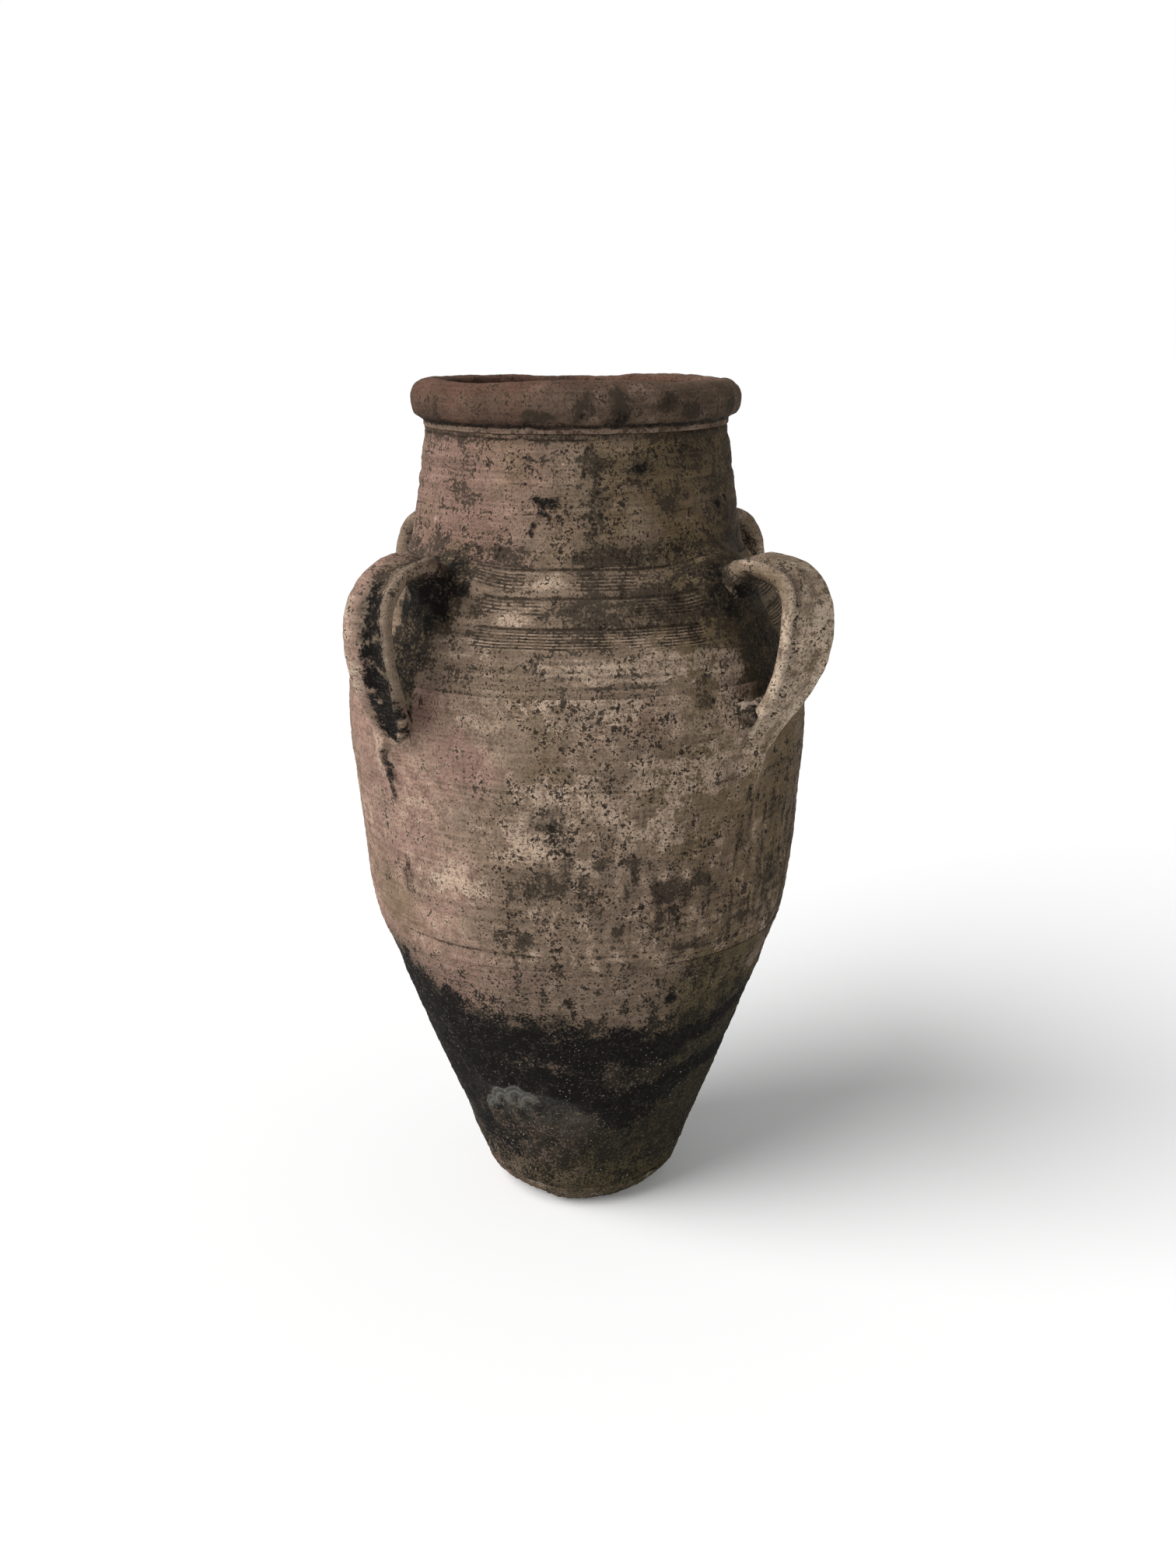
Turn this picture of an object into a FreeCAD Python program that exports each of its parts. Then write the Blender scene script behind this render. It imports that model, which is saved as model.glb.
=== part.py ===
"""Four-handled earthenware olive jar, built up the way a potter builds one.

A foot disc carries a wall thrown in zones, each luted on the last along a bevelled seam,
then a rolled rim, four strap handles and the clay wads pressed into their corners.
Millimetres and degrees. The origin is the middle of the foot, on the floor, with +Z up.
"""
import FreeCAD, Part
import math
import os

import Sketcher
from FreeCAD import Placement, Rotation, Vector

# Driving dimensions: one named cell each.
SIZES = {
    "rim_seat_height": 712.0,
    "foot_flat_radius": 55.0,
    "foot_edge_round": 40.0,
    "floor_thickness": 24.0,
    "wall": 13.0,
    "knee_height": 285.0,
    "knee_round": 150.0,
    "belly_radius": 205.0,
    "belly_height": 468.0,
    "belly_round": 500.0,
    "belly_lean": 5.4,
    "shoulder_round": 196.0,
    "neck_round": 22.0,
    "neck_top_radius": 130.5,
    "neck_taper": 8.5,
    "seam_bevel": 30.0,
    "waist_seam_rise": 3.0,
    "shoulder_seam_rise": 48.0,
    "neck_seam_rise": 131.0,
    "rim_radius": 142.5,
    "rim_widest_rise": 23.0,
    "rim_top_round": 15.0,
    "rim_lip_round": 6.0,
    "handle_reach": 43.0,
    "handle_rise": 98.0,
    "crown_round": 45.0,
    "handle_root_slope": 30.0,
    "handle_root_run": 48.0,
    "handle_back_round": 125.0,
    "handle_back_sweep": 35.0,
    "handle_tail_round": 260.0,
    "handle_tail_slope": 14.0,
    "strap_width": 48.0,
    "strap_thickness": 22.0,
    "strap_ridge_round": 6.5,
    "strap_channel_depth": 4.5,
    "upper_wad_foot_rise": 98.0,
    "upper_wad_hollow": 45.0,
    "lower_wad_top_rise": 38.0,
    "lower_wad_hollow": 30.0,
    "wad_inset": 2.0,
    "wad_edge_round": 4.0,
}

# Handle names and the way each one points, in degrees about +Z from +X: set by eye, so not quite square.
HANDLES = {
    "front_right": 1.5,
    "back_right": 91.0,
    "back_left": 172.5,
    "front_left": 270.0,
}

# Where the handle's centre line starts, tops out, leaves its back and ends: radius and height formulas.
OUTERMOST = "[belly_radius] + [handle_reach]"
CROWN_HEIGHT = "[belly_height] + [handle_rise]"
ROOT_COS = "cos([handle_root_slope] * 1 deg)"
ROOT_SIN = "sin([handle_root_slope] * 1 deg)"
BACK_COS = "cos([handle_back_sweep] * 1 deg)"
BACK_SIN = "sin([handle_back_sweep] * 1 deg)"
TAIL_COS = "cos([handle_tail_slope] * 1 deg)"
TAIL_SIN = "sin([handle_tail_slope] * 1 deg)"
ROOT = (
    f"{OUTERMOST} - [crown_round] * (1 + {ROOT_SIN}) - [handle_root_run] * {ROOT_COS}",
    f"{CROWN_HEIGHT} + [crown_round] * {ROOT_COS} - [handle_root_run] * {ROOT_SIN}",
)
CROWN_TOP = (
    f"{OUTERMOST} - [crown_round]",
    f"{CROWN_HEIGHT} + [crown_round]",
)
BACK_END = (
    f"{OUTERMOST} - [handle_back_round] * (1 - {BACK_COS})",
    f"{CROWN_HEIGHT} - [handle_back_round] * {BACK_SIN}",
)
TAIL = (
    f"{BACK_END[0]} - [handle_tail_round] * ({TAIL_COS} - {BACK_COS})",
    f"{BACK_END[1]} - [handle_tail_round] * ({BACK_SIN} - {TAIL_SIN})",
)

PARTS_FOLDER = "parts"

ORIGIN = -1
AXIS_OF_HEIGHT = -2
START = 1
END = 2
CENTRE = 3


def new_sheet(doc):
    """The spreadsheet of driving dimensions, one alias per row."""
    sheet = doc.addObject("Spreadsheet::Sheet", "dims")
    for row, (alias, value) in enumerate(SIZES.items(), start=1):
        sheet.set(f"A{row}", alias)
        sheet.set(f"B{row}", str(value))
        sheet.setAlias(f"B{row}", alias)
    doc.recompute()
    return sheet


def bind(thing, prop, formula):
    """Ties one property to a formula of the sheet's cells, each written as [alias]."""
    thing.setExpression(prop, formula.replace("[", "<<dims>>.").replace("]", ""))


def tie(sketch, kind, *refs):
    """Adds a sketch constraint that has no size of its own."""
    sketch.addConstraint(Sketcher.Constraint(kind, *refs))


def drive(sketch, kind, *refs, value, formula):
    """Adds a sketch constraint and ties it to a formula of the sheet's cells."""
    index = sketch.addConstraint(Sketcher.Constraint(kind, *refs, value))
    bind(sketch, f"Constraints[{index}]", formula)


def origin_plane(body, role):
    """One of a body's own origin planes."""
    return next(f for f in body.Origin.OriginFeatures if f.Role == role)


def new_sketch(body, name, role):
    """An empty sketch on one of the body's origin planes."""
    sketch = body.newObject("Sketcher::SketchObject", name)
    sketch.AttachmentSupport = [(origin_plane(body, role), "")]
    sketch.MapMode = "FlatFace"
    return sketch


def flat(radius, height):
    """A point of a profile sketch: radius across, height up."""
    return Vector(radius, height, 0)


def line(start, end):
    return Part.LineSegment(start, end)


def arc(centre, radius, from_deg, to_deg):
    """A counter-clockwise arc of a circle."""
    circle = Part.Circle(centre, Vector(0, 0, 1), radius)
    return Part.ArcOfCircle(circle, math.radians(from_deg), math.radians(to_deg))


def on_circle(centre, radius, degrees):
    angle = math.radians(degrees)
    return centre + flat(radius * math.cos(angle), radius * math.sin(angle))


def revolve(body, sketch, name):
    """Turns a profile sketch a full circle about the height axis."""
    turn = body.newObject("PartDesign::Revolution", name)
    turn.Profile = sketch
    turn.ReferenceAxis = (sketch, ["V_Axis"])
    turn.Angle = 360.0
    return turn


def outline_rounds(sheet):
    """The rounds of the jar's outer profile, each as centre, radius and end angles, and its knee corner."""
    foot_centre = flat(sheet.foot_flat_radius, sheet.foot_edge_round)
    belly_centre = flat(sheet.belly_radius - sheet.belly_round, sheet.belly_height)
    shoulder_centre = flat(sheet.belly_radius - sheet.shoulder_round, sheet.belly_height)
    neck_top = flat(sheet.neck_top_radius, sheet.rim_seat_height)

    # The belly's line leans back from the belly's round, down to the knee corner.
    belly_start = on_circle(belly_centre, sheet.belly_round, -sheet.belly_lean)
    drop = belly_start.y - sheet.knee_height
    knee = belly_start - flat(drop * math.tan(math.radians(sheet.belly_lean)), drop)

    # The cone's line leaves the foot's round and aims at the knee corner.
    reach = knee - foot_centre
    cone_lean = math.degrees(math.atan2(reach.x, reach.y) - math.asin(sheet.foot_edge_round / reach.Length))
    foot_end = on_circle(foot_centre, sheet.foot_edge_round, -cone_lean)

    # The knee's round touches both of those lines.
    trim = sheet.knee_round * math.tan(math.radians(cone_lean - sheet.belly_lean) / 2)
    cone_end = knee - (knee - foot_end).normalize() * trim
    knee_centre = on_circle(cone_end, sheet.knee_round, 180 - cone_lean)

    # The neck's round is hollow: it touches the shoulder's circle and the neck's line from outside.
    outwards = on_circle(flat(0, 0), 1, sheet.neck_taper)
    upwards = flat(-outwards.y, outwards.x)
    beside = neck_top + outwards * sheet.neck_round
    offset = beside - shoulder_centre
    along = offset.dot(upwards)
    span = (sheet.shoulder_round + sheet.neck_round) ** 2 - (offset.Length ** 2 - along ** 2)
    neck_centre = beside - upwards * (along - math.sqrt(span))
    across = neck_centre - shoulder_centre
    shoulder_end = math.degrees(math.atan2(across.y, across.x))

    rounds = [
        (foot_centre, sheet.foot_edge_round, -90, -cone_lean),
        (knee_centre, sheet.knee_round, -cone_lean, -sheet.belly_lean),
        (belly_centre, sheet.belly_round, -sheet.belly_lean, 0),
        (shoulder_centre, sheet.shoulder_round, 0, shoulder_end),
        (neck_centre, sheet.neck_round, 180 + sheet.neck_taper, 180 + shoulder_end),
    ]
    return rounds, knee


def profile_edges(bottom, cone_start, rounds, neck_top):
    """A profile's lines and arcs, from the axis at the bottom out and up to the neck's top and back."""
    knee, belly, shoulder, hollow = [arc(*each) for each in rounds]
    top = flat(0, neck_top.y)
    return [
        line(cone_start, knee.StartPoint),
        knee,
        line(knee.EndPoint, belly.StartPoint),
        belly,
        shoulder,
        hollow,
        line(hollow.StartPoint, neck_top),
        line(neck_top, top),
        line(top, bottom),
    ]


def tie_profile(sketch, edges):
    """Runs a profile's edges smoothly on from the cone to the neck, and closes them along the axis."""
    cone, knee, side, belly, shoulder, hollow, neck, top, axis = edges
    smooth = [(cone, END, knee, START), (knee, END, side, START), (side, END, belly, START)]
    smooth += [(shoulder, END, hollow, END), (hollow, START, neck, START)]
    for pair in smooth:
        tie(sketch, "Tangent", *pair)
    for pair in ((neck, END, top, START), (top, END, axis, START)):
        tie(sketch, "Coincident", *pair)
    tie(sketch, "Horizontal", top)
    tie(sketch, "PointOnObject", top, END, AXIS_OF_HEIGHT)
    tie(sketch, "Horizontal", belly, CENTRE, belly, END)


def jar_outline(sheet, sketch, helper=False):
    """Draws the jar's outer profile and ties it: foot, cone, knee, belly, shoulder and neck."""
    rounds, knee_corner = outline_rounds(sheet)
    foot_arc = arc(*rounds[0])
    neck_top = flat(sheet.neck_top_radius, sheet.rim_seat_height)
    base = sketch.addGeometry([line(flat(0, 0), foot_arc.StartPoint), foot_arc], helper)
    wall = sketch.addGeometry(profile_edges(flat(0, 0), foot_arc.EndPoint, rounds[1:], neck_top), helper)
    corner = sketch.addGeometry(Part.Point(knee_corner), True)
    bottom, foot = base
    cone, knee, side, belly, shoulder, hollow, neck, top, axis = wall

    tie_profile(sketch, wall)
    for pair in ((bottom, END, foot, START), (foot, END, cone, START), (belly, END, shoulder, START)):
        tie(sketch, "Tangent", *pair)
    tie(sketch, "Coincident", axis, END, bottom, START)
    tie(sketch, "Coincident", bottom, START, ORIGIN, START)
    tie(sketch, "Horizontal", bottom)
    tie(sketch, "PointOnObject", corner, START, cone)
    tie(sketch, "PointOnObject", corner, START, side)

    sizes = {foot: "foot_edge_round", knee: "knee_round", belly: "belly_round"}
    sizes.update({shoulder: "shoulder_round", hollow: "neck_round"})
    for edge, alias in sizes.items():
        drive(sketch, "Radius", edge, value=getattr(sheet, alias), formula=f"[{alias}]")
    across = [(bottom, END, "foot_flat_radius"), (belly, END, "belly_radius")]
    across.append((neck, END, "neck_top_radius"))
    for edge, end, alias in across:
        value = getattr(sheet, alias)
        drive(sketch, "DistanceX", ORIGIN, START, edge, end, value=value, formula=f"[{alias}]")
    up = [(corner, START, "knee_height"), (belly, END, "belly_height"), (neck, END, "rim_seat_height")]
    for edge, end, alias in up:
        value = getattr(sheet, alias)
        drive(sketch, "DistanceY", ORIGIN, START, edge, end, value=value, formula=f"[{alias}]")
    neck_angle = math.radians(90 + sheet.neck_taper)
    drive(sketch, "Angle", neck, value=neck_angle, formula="(90 + [neck_taper]) * 1 deg")
    side_angle = math.radians(90 - sheet.belly_lean)
    drive(sketch, "Angle", side, value=side_angle, formula="(90 - [belly_lean]) * 1 deg")
    return wall


def mouth_radius(sheet):
    """The radius of the neck's inside at the rim's seat, and its formula."""
    radius = sheet.neck_top_radius - sheet.wall / math.cos(math.radians(sheet.neck_taper))
    return radius, "[neck_top_radius] - [wall] / cos([neck_taper] * 1 deg)"


def cavity_outline(sheet, sketch):
    """Draws the inside's profile within a copy of the outer one: the same rounds, one wall further in."""
    outer = jar_outline(sheet, sketch, helper=True)
    outer_cone, outer_knee, _, outer_belly, outer_shoulder, _, outer_neck, _, _ = outer
    rounds, _ = outline_rounds(sheet)
    full = [(centre, radius - sheet.wall, low, high) for centre, radius, low, high in rounds[1:4]]
    centre, radius, low, high = rounds[4]
    hollow_round = (centre, radius + sheet.wall, low, high)
    knee_start = arc(*full[0]).StartPoint
    drop = knee_start.y - sheet.floor_thickness
    corner = knee_start - flat(drop * math.tan(math.radians(-full[0][2])), drop)
    middle = flat(0, sheet.floor_thickness)
    mouth, mouth_formula = mouth_radius(sheet)
    neck_top = flat(mouth, sheet.rim_seat_height)
    inside = profile_edges(middle, corner, [*full, hollow_round], neck_top)
    floor = sketch.addGeometry(line(middle, corner), False)
    edges = sketch.addGeometry(inside, False)
    cone, knee, _, belly, shoulder, hollow, neck, _, axis = edges

    tie_profile(sketch, edges)
    tie(sketch, "Coincident", floor, END, cone, START)
    tie(sketch, "Coincident", axis, END, floor, START)
    tie(sketch, "PointOnObject", floor, START, AXIS_OF_HEIGHT)
    tie(sketch, "Horizontal", floor)
    tie(sketch, "Coincident", belly, END, shoulder, START)
    tie(sketch, "Parallel", cone, outer_cone)
    tie(sketch, "Parallel", neck, outer_neck)
    for edge, outer_edge in ((knee, outer_knee), (belly, outer_belly), (shoulder, outer_shoulder)):
        tie(sketch, "Coincident", edge, CENTRE, outer_edge, CENTRE)
    sizes = {knee: "[knee_round] - [wall]", belly: "[belly_round] - [wall]", hollow: "[neck_round] + [wall]"}
    values = {knee: full[0][1], belly: full[1][1], hollow: hollow_round[1]}
    for edge, formula in sizes.items():
        drive(sketch, "Radius", edge, value=values[edge], formula=formula)
    drive(sketch, "DistanceX", ORIGIN, START, neck, END, value=mouth, formula=mouth_formula)
    seat = sheet.rim_seat_height
    drive(sketch, "DistanceY", ORIGIN, START, neck, END, value=seat, formula="[rim_seat_height]")
    drive(sketch, "DistanceY", ORIGIN, START, floor, END, value=middle.y, formula="[floor_thickness]")


def outer_form(doc, sheet):
    """The jar's outside as one solid up to the rim's seat: what the zones and handles are fitted to."""
    body = doc.addObject("PartDesign::Body", "outer_form")
    sketch = new_sketch(body, "outer_profile", "XZ_Plane")
    jar_outline(sheet, sketch)
    revolve(body, sketch, "outer_turn")
    doc.recompute()
    return body


def boolean(doc, kind, name, base, tool):
    """A Part::Cut or Part::Common of two objects."""
    made = doc.addObject(f"Part::{kind}", name)
    made.Base = base
    made.Tool = tool
    return made


def wall_form(doc, sheet, outside):
    """The jar's wall: the outside hollowed by the inside's own turned form, open at the rim's seat."""
    body = doc.addObject("PartDesign::Body", "inner_form")
    sketch = new_sketch(body, "inner_profile", "XZ_Plane")
    cavity_outline(sheet, sketch)
    revolve(body, sketch, "inner_turn")
    return boolean(doc, "Cut", "wall_form", outside, body)


def above_seam(doc, name, radius, height):
    """The space above a bevelled seam: a cone that opens upwards through a ring of this size and height."""
    cone = doc.addObject("Part::Cone", f"above_{name}_seam")
    cone.Radius1 = 0
    bind(cone, "Height", "[rim_seat_height]")
    bind(cone, "Radius2", "[rim_seat_height] / tan([seam_bevel] * 1 deg)")
    bind(cone, "Placement.Base.z", f"{height} - {radius} * tan([seam_bevel] * 1 deg)")
    return cone


def wall_zones(doc, outside, wall):
    """The foot disc and the four thrown zones that stand on it, each bevelled to seat in the next."""
    slab = doc.addObject("Part::Cylinder", "foot_slab")
    bind(slab, "Radius", "[belly_radius]")
    bind(slab, "Height", "[floor_thickness]")
    waist = above_seam(doc, "waist", "[belly_radius]", "[knee_height] + [waist_seam_rise]")
    shoulder = above_seam(doc, "shoulder", "[belly_radius]", "[belly_height] + [shoulder_seam_rise]")
    neck = above_seam(doc, "neck", "[neck_top_radius]", "[belly_height] + [neck_seam_rise]")

    foot_disc = boolean(doc, "Common", "foot_disc", outside, slab)
    on_the_foot = boolean(doc, "Cut", "wall_on_the_foot", wall, slab)
    lower_wall = boolean(doc, "Cut", "lower_wall", on_the_foot, waist)
    over_waist = boolean(doc, "Common", "wall_over_waist", wall, waist)
    belly_wall = boolean(doc, "Cut", "belly_wall", over_waist, shoulder)
    over_shoulder = boolean(doc, "Common", "wall_over_shoulder", wall, shoulder)
    shoulder_wall = boolean(doc, "Cut", "shoulder_wall", over_shoulder, neck)
    neck_wall = boolean(doc, "Common", "neck_wall", wall, neck)
    return [foot_disc, lower_wall, belly_wall, shoulder_wall, neck_wall]


def rim_roll(doc, sheet):
    """The rolled rim: a coil seated flat on the neck, full outside, with a round bore for a stopper."""
    body = doc.addObject("PartDesign::Body", "rim_roll")
    sketch = new_sketch(body, "rim_profile", "XZ_Plane")
    mouth, mouth_formula = mouth_radius(sheet)
    seat = sheet.rim_seat_height
    widest = seat + sheet.rim_widest_rise
    overhang = sheet.rim_radius - sheet.neck_top_radius
    under_round = (overhang ** 2 + sheet.rim_widest_rise ** 2) / (2 * overhang)
    under_centre = flat(sheet.rim_radius - under_round, widest)
    under_deg = math.degrees(math.asin(sheet.rim_widest_rise / under_round))
    top_centre = flat(sheet.rim_radius - sheet.rim_top_round, widest)
    lip_deg = math.degrees(math.acos((mouth - top_centre.x) / sheet.rim_top_round))
    lip = on_circle(top_centre, sheet.rim_top_round, lip_deg)
    edges = [
        line(flat(mouth, seat), flat(sheet.neck_top_radius, seat)),
        arc(under_centre, under_round, -under_deg, 0),
        arc(top_centre, sheet.rim_top_round, 0, lip_deg),
        line(lip, flat(mouth, seat)),
    ]
    seat_edge, under, over, bore = range(len(edges))
    sketch.addGeometry(edges, False)
    tie(sketch, "Coincident", seat_edge, END, under, START)
    tie(sketch, "Tangent", under, END, over, START)
    tie(sketch, "Coincident", over, END, bore, START)
    tie(sketch, "Coincident", bore, END, seat_edge, START)
    tie(sketch, "Horizontal", seat_edge)
    tie(sketch, "Vertical", bore)
    tie(sketch, "Horizontal", under, CENTRE, under, END)
    drive(sketch, "DistanceX", ORIGIN, START, bore, END, value=mouth, formula=mouth_formula)
    neck_top = sheet.neck_top_radius
    drive(sketch, "DistanceX", ORIGIN, START, seat_edge, END, value=neck_top, formula="[neck_top_radius]")
    drive(sketch, "DistanceX", ORIGIN, START, under, END, value=sheet.rim_radius, formula="[rim_radius]")
    drive(sketch, "DistanceY", ORIGIN, START, seat_edge, END, value=seat, formula="[rim_seat_height]")
    widest_formula = "[rim_seat_height] + [rim_widest_rise]"
    drive(sketch, "DistanceY", ORIGIN, START, under, END, value=widest, formula=widest_formula)
    drive(sketch, "Radius", over, value=sheet.rim_top_round, formula="[rim_top_round]")
    turn = revolve(body, sketch, "rim_turn")
    doc.recompute()

    # The lip's inner edge is rounded over.
    sharp = max(
        (n for n, edge in enumerate(turn.Shape.Edges) if abs(edge.BoundBox.XMax - mouth) < 0.01),
        key=lambda n: turn.Shape.Edges[n].CenterOfMass.z,
    )
    fillet = body.newObject("PartDesign::Fillet", "rim_lip")
    fillet.Base = (turn, [f"Edge{sharp + 1}"])
    bind(fillet, "Radius", "[rim_lip_round]")
    return body


def crown_middle(sheet):
    """The middle of the round at the top of a handle."""
    outermost = sheet.belly_radius + sheet.handle_reach
    return flat(outermost - sheet.crown_round, sheet.belly_height + sheet.handle_rise)


def handle_points(sheet):
    """Where the handle's centre line starts, tops out, leaves its back and ends."""
    crown_centre = crown_middle(sheet)
    crown_start = on_circle(crown_centre, sheet.crown_round, 90 + sheet.handle_root_slope)
    crown_top = on_circle(crown_centre, sheet.crown_round, 90)
    root = on_circle(crown_start, sheet.handle_root_run, 180 + sheet.handle_root_slope)
    back_centre = crown_centre - flat(sheet.handle_back_round - sheet.crown_round, 0)
    back_end = on_circle(back_centre, sheet.handle_back_round, -sheet.handle_back_sweep)
    tail_centre = on_circle(back_end, sheet.handle_tail_round, -sheet.handle_back_sweep)
    tail = on_circle(tail_centre, sheet.handle_tail_round, 180 - sheet.handle_tail_slope)
    return root, crown_top, back_end, tail


def handle_spine(sheet, sketch):
    """The handle's centre line: out of the shoulder, over the crown, down the back, deep into the belly."""
    root, _, back_end, tail = handle_points(sheet)
    crown_centre = crown_middle(sheet)
    crown_start = on_circle(crown_centre, sheet.crown_round, 90 + sheet.handle_root_slope)
    back_centre = crown_centre - flat(sheet.handle_back_round - sheet.crown_round, 0)
    tail_centre = on_circle(back_end, sheet.handle_tail_round, -sheet.handle_back_sweep)
    dive_from = 180 - sheet.handle_back_sweep
    dive_to = 180 - sheet.handle_tail_slope
    buried_run = 2 * sheet.strap_thickness
    buried_end = on_circle(tail, buried_run, 270 - sheet.handle_tail_slope)
    edges = [
        line(root, crown_start),
        arc(crown_centre, sheet.crown_round, 0, 90 + sheet.handle_root_slope),
        arc(back_centre, sheet.handle_back_round, -sheet.handle_back_sweep, 0),
        arc(tail_centre, sheet.handle_tail_round, dive_from, dive_to),
        line(tail, buried_end),
    ]
    rise, crown, back, dive, buried = range(len(edges))
    sketch.addGeometry(edges, False)
    tie(sketch, "Tangent", rise, END, crown, END)
    tie(sketch, "Tangent", crown, START, back, END)
    tie(sketch, "Tangent", back, START, dive, START)
    tie(sketch, "Tangent", dive, END, buried, START)
    tie(sketch, "Horizontal", crown, CENTRE, crown, START)
    outermost = sheet.belly_radius + sheet.handle_reach
    drive(sketch, "DistanceX", ORIGIN, START, crown, START, value=outermost, formula=OUTERMOST)
    drive(sketch, "DistanceY", ORIGIN, START, crown, START, value=crown_centre.y, formula=CROWN_HEIGHT)
    rounds = {crown: "crown_round", back: "handle_back_round", dive: "handle_tail_round"}
    for edge, alias in rounds.items():
        drive(sketch, "Radius", edge, value=getattr(sheet, alias), formula=f"[{alias}]")
    drive(sketch, "Distance", rise, value=sheet.handle_root_run, formula="[handle_root_run]")
    drive(sketch, "Distance", buried, value=buried_run, formula="2 * [strap_thickness]")
    root_angle = math.radians(sheet.handle_root_slope)
    drive(sketch, "Angle", rise, value=root_angle, formula="[handle_root_slope] * 1 deg")
    sweep = math.radians(sheet.handle_back_sweep)
    drive(sketch, "Angle", back, value=sweep, formula="[handle_back_sweep] * 1 deg")
    sweep = math.radians(sheet.handle_back_sweep - sheet.handle_tail_slope)
    drive(sketch, "Angle", dive, value=sweep, formula="([handle_back_sweep] - [handle_tail_slope]) * 1 deg")


def strap_section(sheet, sketch):
    """The strap's section: round underneath, two ridges on top and the thumb's channel between them."""
    ridge = sheet.strap_ridge_round
    half = sheet.strap_width / 2 - ridge
    top = sheet.strap_thickness / 2
    ridge_height = top - ridge
    dip = ridge - sheet.strap_channel_depth
    channel = (half ** 2 + dip ** 2 - ridge ** 2) / (2 * (ridge - dip))
    channel_centre = flat(0, ridge_height + dip + channel)
    lift = ridge_height + top
    under = (half ** 2 + lift ** 2 - ridge ** 2) / (2 * (lift - ridge))
    under_centre = flat(0, under - top)
    right = flat(half, ridge_height)
    left = flat(-half, ridge_height)
    to_channel = math.degrees(math.atan2(channel_centre.y - right.y, channel_centre.x - right.x))
    from_under = math.degrees(math.atan2(right.y - under_centre.y, right.x - under_centre.x))
    edges = [
        arc(right, ridge, from_under, to_channel),
        arc(channel_centre, channel, 360 - to_channel, 180 + to_channel),
        arc(left, ridge, 180 - to_channel, 180 - from_under),
        arc(under_centre, under, 180 - from_under, 360 + from_under),
    ]
    right_ridge, hollow, left_ridge, back = range(len(edges))
    sketch.addGeometry(edges, False)
    tie(sketch, "Tangent", right_ridge, END, hollow, END)
    tie(sketch, "Tangent", hollow, START, left_ridge, START)
    tie(sketch, "Tangent", left_ridge, END, back, START)
    tie(sketch, "Tangent", back, END, right_ridge, START)
    tie(sketch, "PointOnObject", hollow, CENTRE, AXIS_OF_HEIGHT)
    tie(sketch, "PointOnObject", back, CENTRE, AXIS_OF_HEIGHT)
    tie(sketch, "Equal", right_ridge, left_ridge)
    drive(sketch, "Radius", right_ridge, value=ridge, formula="[strap_ridge_round]")
    half_formula = "[strap_width] / 2 - [strap_ridge_round]"
    drive(sketch, "DistanceX", ORIGIN, START, right_ridge, CENTRE, value=half, formula=half_formula)
    height_formula = "[strap_thickness] / 2 - [strap_ridge_round]"
    height_ties = (ORIGIN, START, right_ridge, CENTRE)
    drive(sketch, "DistanceY", *height_ties, value=ridge_height, formula=height_formula)
    dip_formula = "([strap_ridge_round] - [strap_channel_depth])"
    tip_formula = f"({half_formula}) ^ 2 - [strap_ridge_round] ^ 2"
    hollow_formula = f"({tip_formula} + {dip_formula} ^ 2) / (2 * [strap_channel_depth])"
    drive(sketch, "Radius", hollow, value=channel, formula=hollow_formula)
    lift_formula = "([strap_thickness] - [strap_ridge_round])"
    back_formula = f"({tip_formula} + {lift_formula} ^ 2) / (2 * ({lift_formula} - [strap_ridge_round]))"
    drive(sketch, "Radius", back, value=under, formula=back_formula)


def handle(doc, sheet, outside, name, heading):
    """One strap handle, pulled with its ridges and pressed on to the shoulder and the belly."""
    body = doc.addObject("PartDesign::Body", f"strap_{name}")
    spine = new_sketch(body, f"spine_{name}", "XZ_Plane")
    handle_spine(sheet, spine)
    root = handle_points(sheet)[0]
    section = new_sketch(body, f"section_{name}", "YZ_Plane")
    upright = Rotation(Vector(1, 0, 0), -sheet.handle_root_slope)
    section.AttachmentOffset = Placement(Vector(0, root.y, root.x), upright)
    bind(section, "AttachmentOffset.Base.z", ROOT[0])
    bind(section, "AttachmentOffset.Base.y", ROOT[1])
    bind(section, "AttachmentOffset.Rotation.Angle", "-[handle_root_slope] * 1 deg")
    strap_section(sheet, section)
    pull = body.newObject("PartDesign::AdditivePipe", f"pull_{name}")
    pull.Profile = section
    pull.Spine = spine
    body.Placement = Placement(Vector(), Rotation(Vector(0, 0, 1), heading))
    return boolean(doc, "Cut", f"handle_{name}", body, outside)


def on_shoulder(sheet, alias):
    """A point of the shoulder's outside, this far above the belly's widest ring, and its two formulas."""
    rise = getattr(sheet, alias)
    inner = sheet.belly_radius - sheet.shoulder_round
    point = flat(inner + math.sqrt(sheet.shoulder_round ** 2 - rise ** 2), sheet.belly_height + rise)
    run = f"sqrt([shoulder_round] ^ 2 - [{alias}] ^ 2)"
    return point, (f"[belly_radius] - [shoulder_round] + {run}", f"[belly_height] + [{alias}]")


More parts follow.
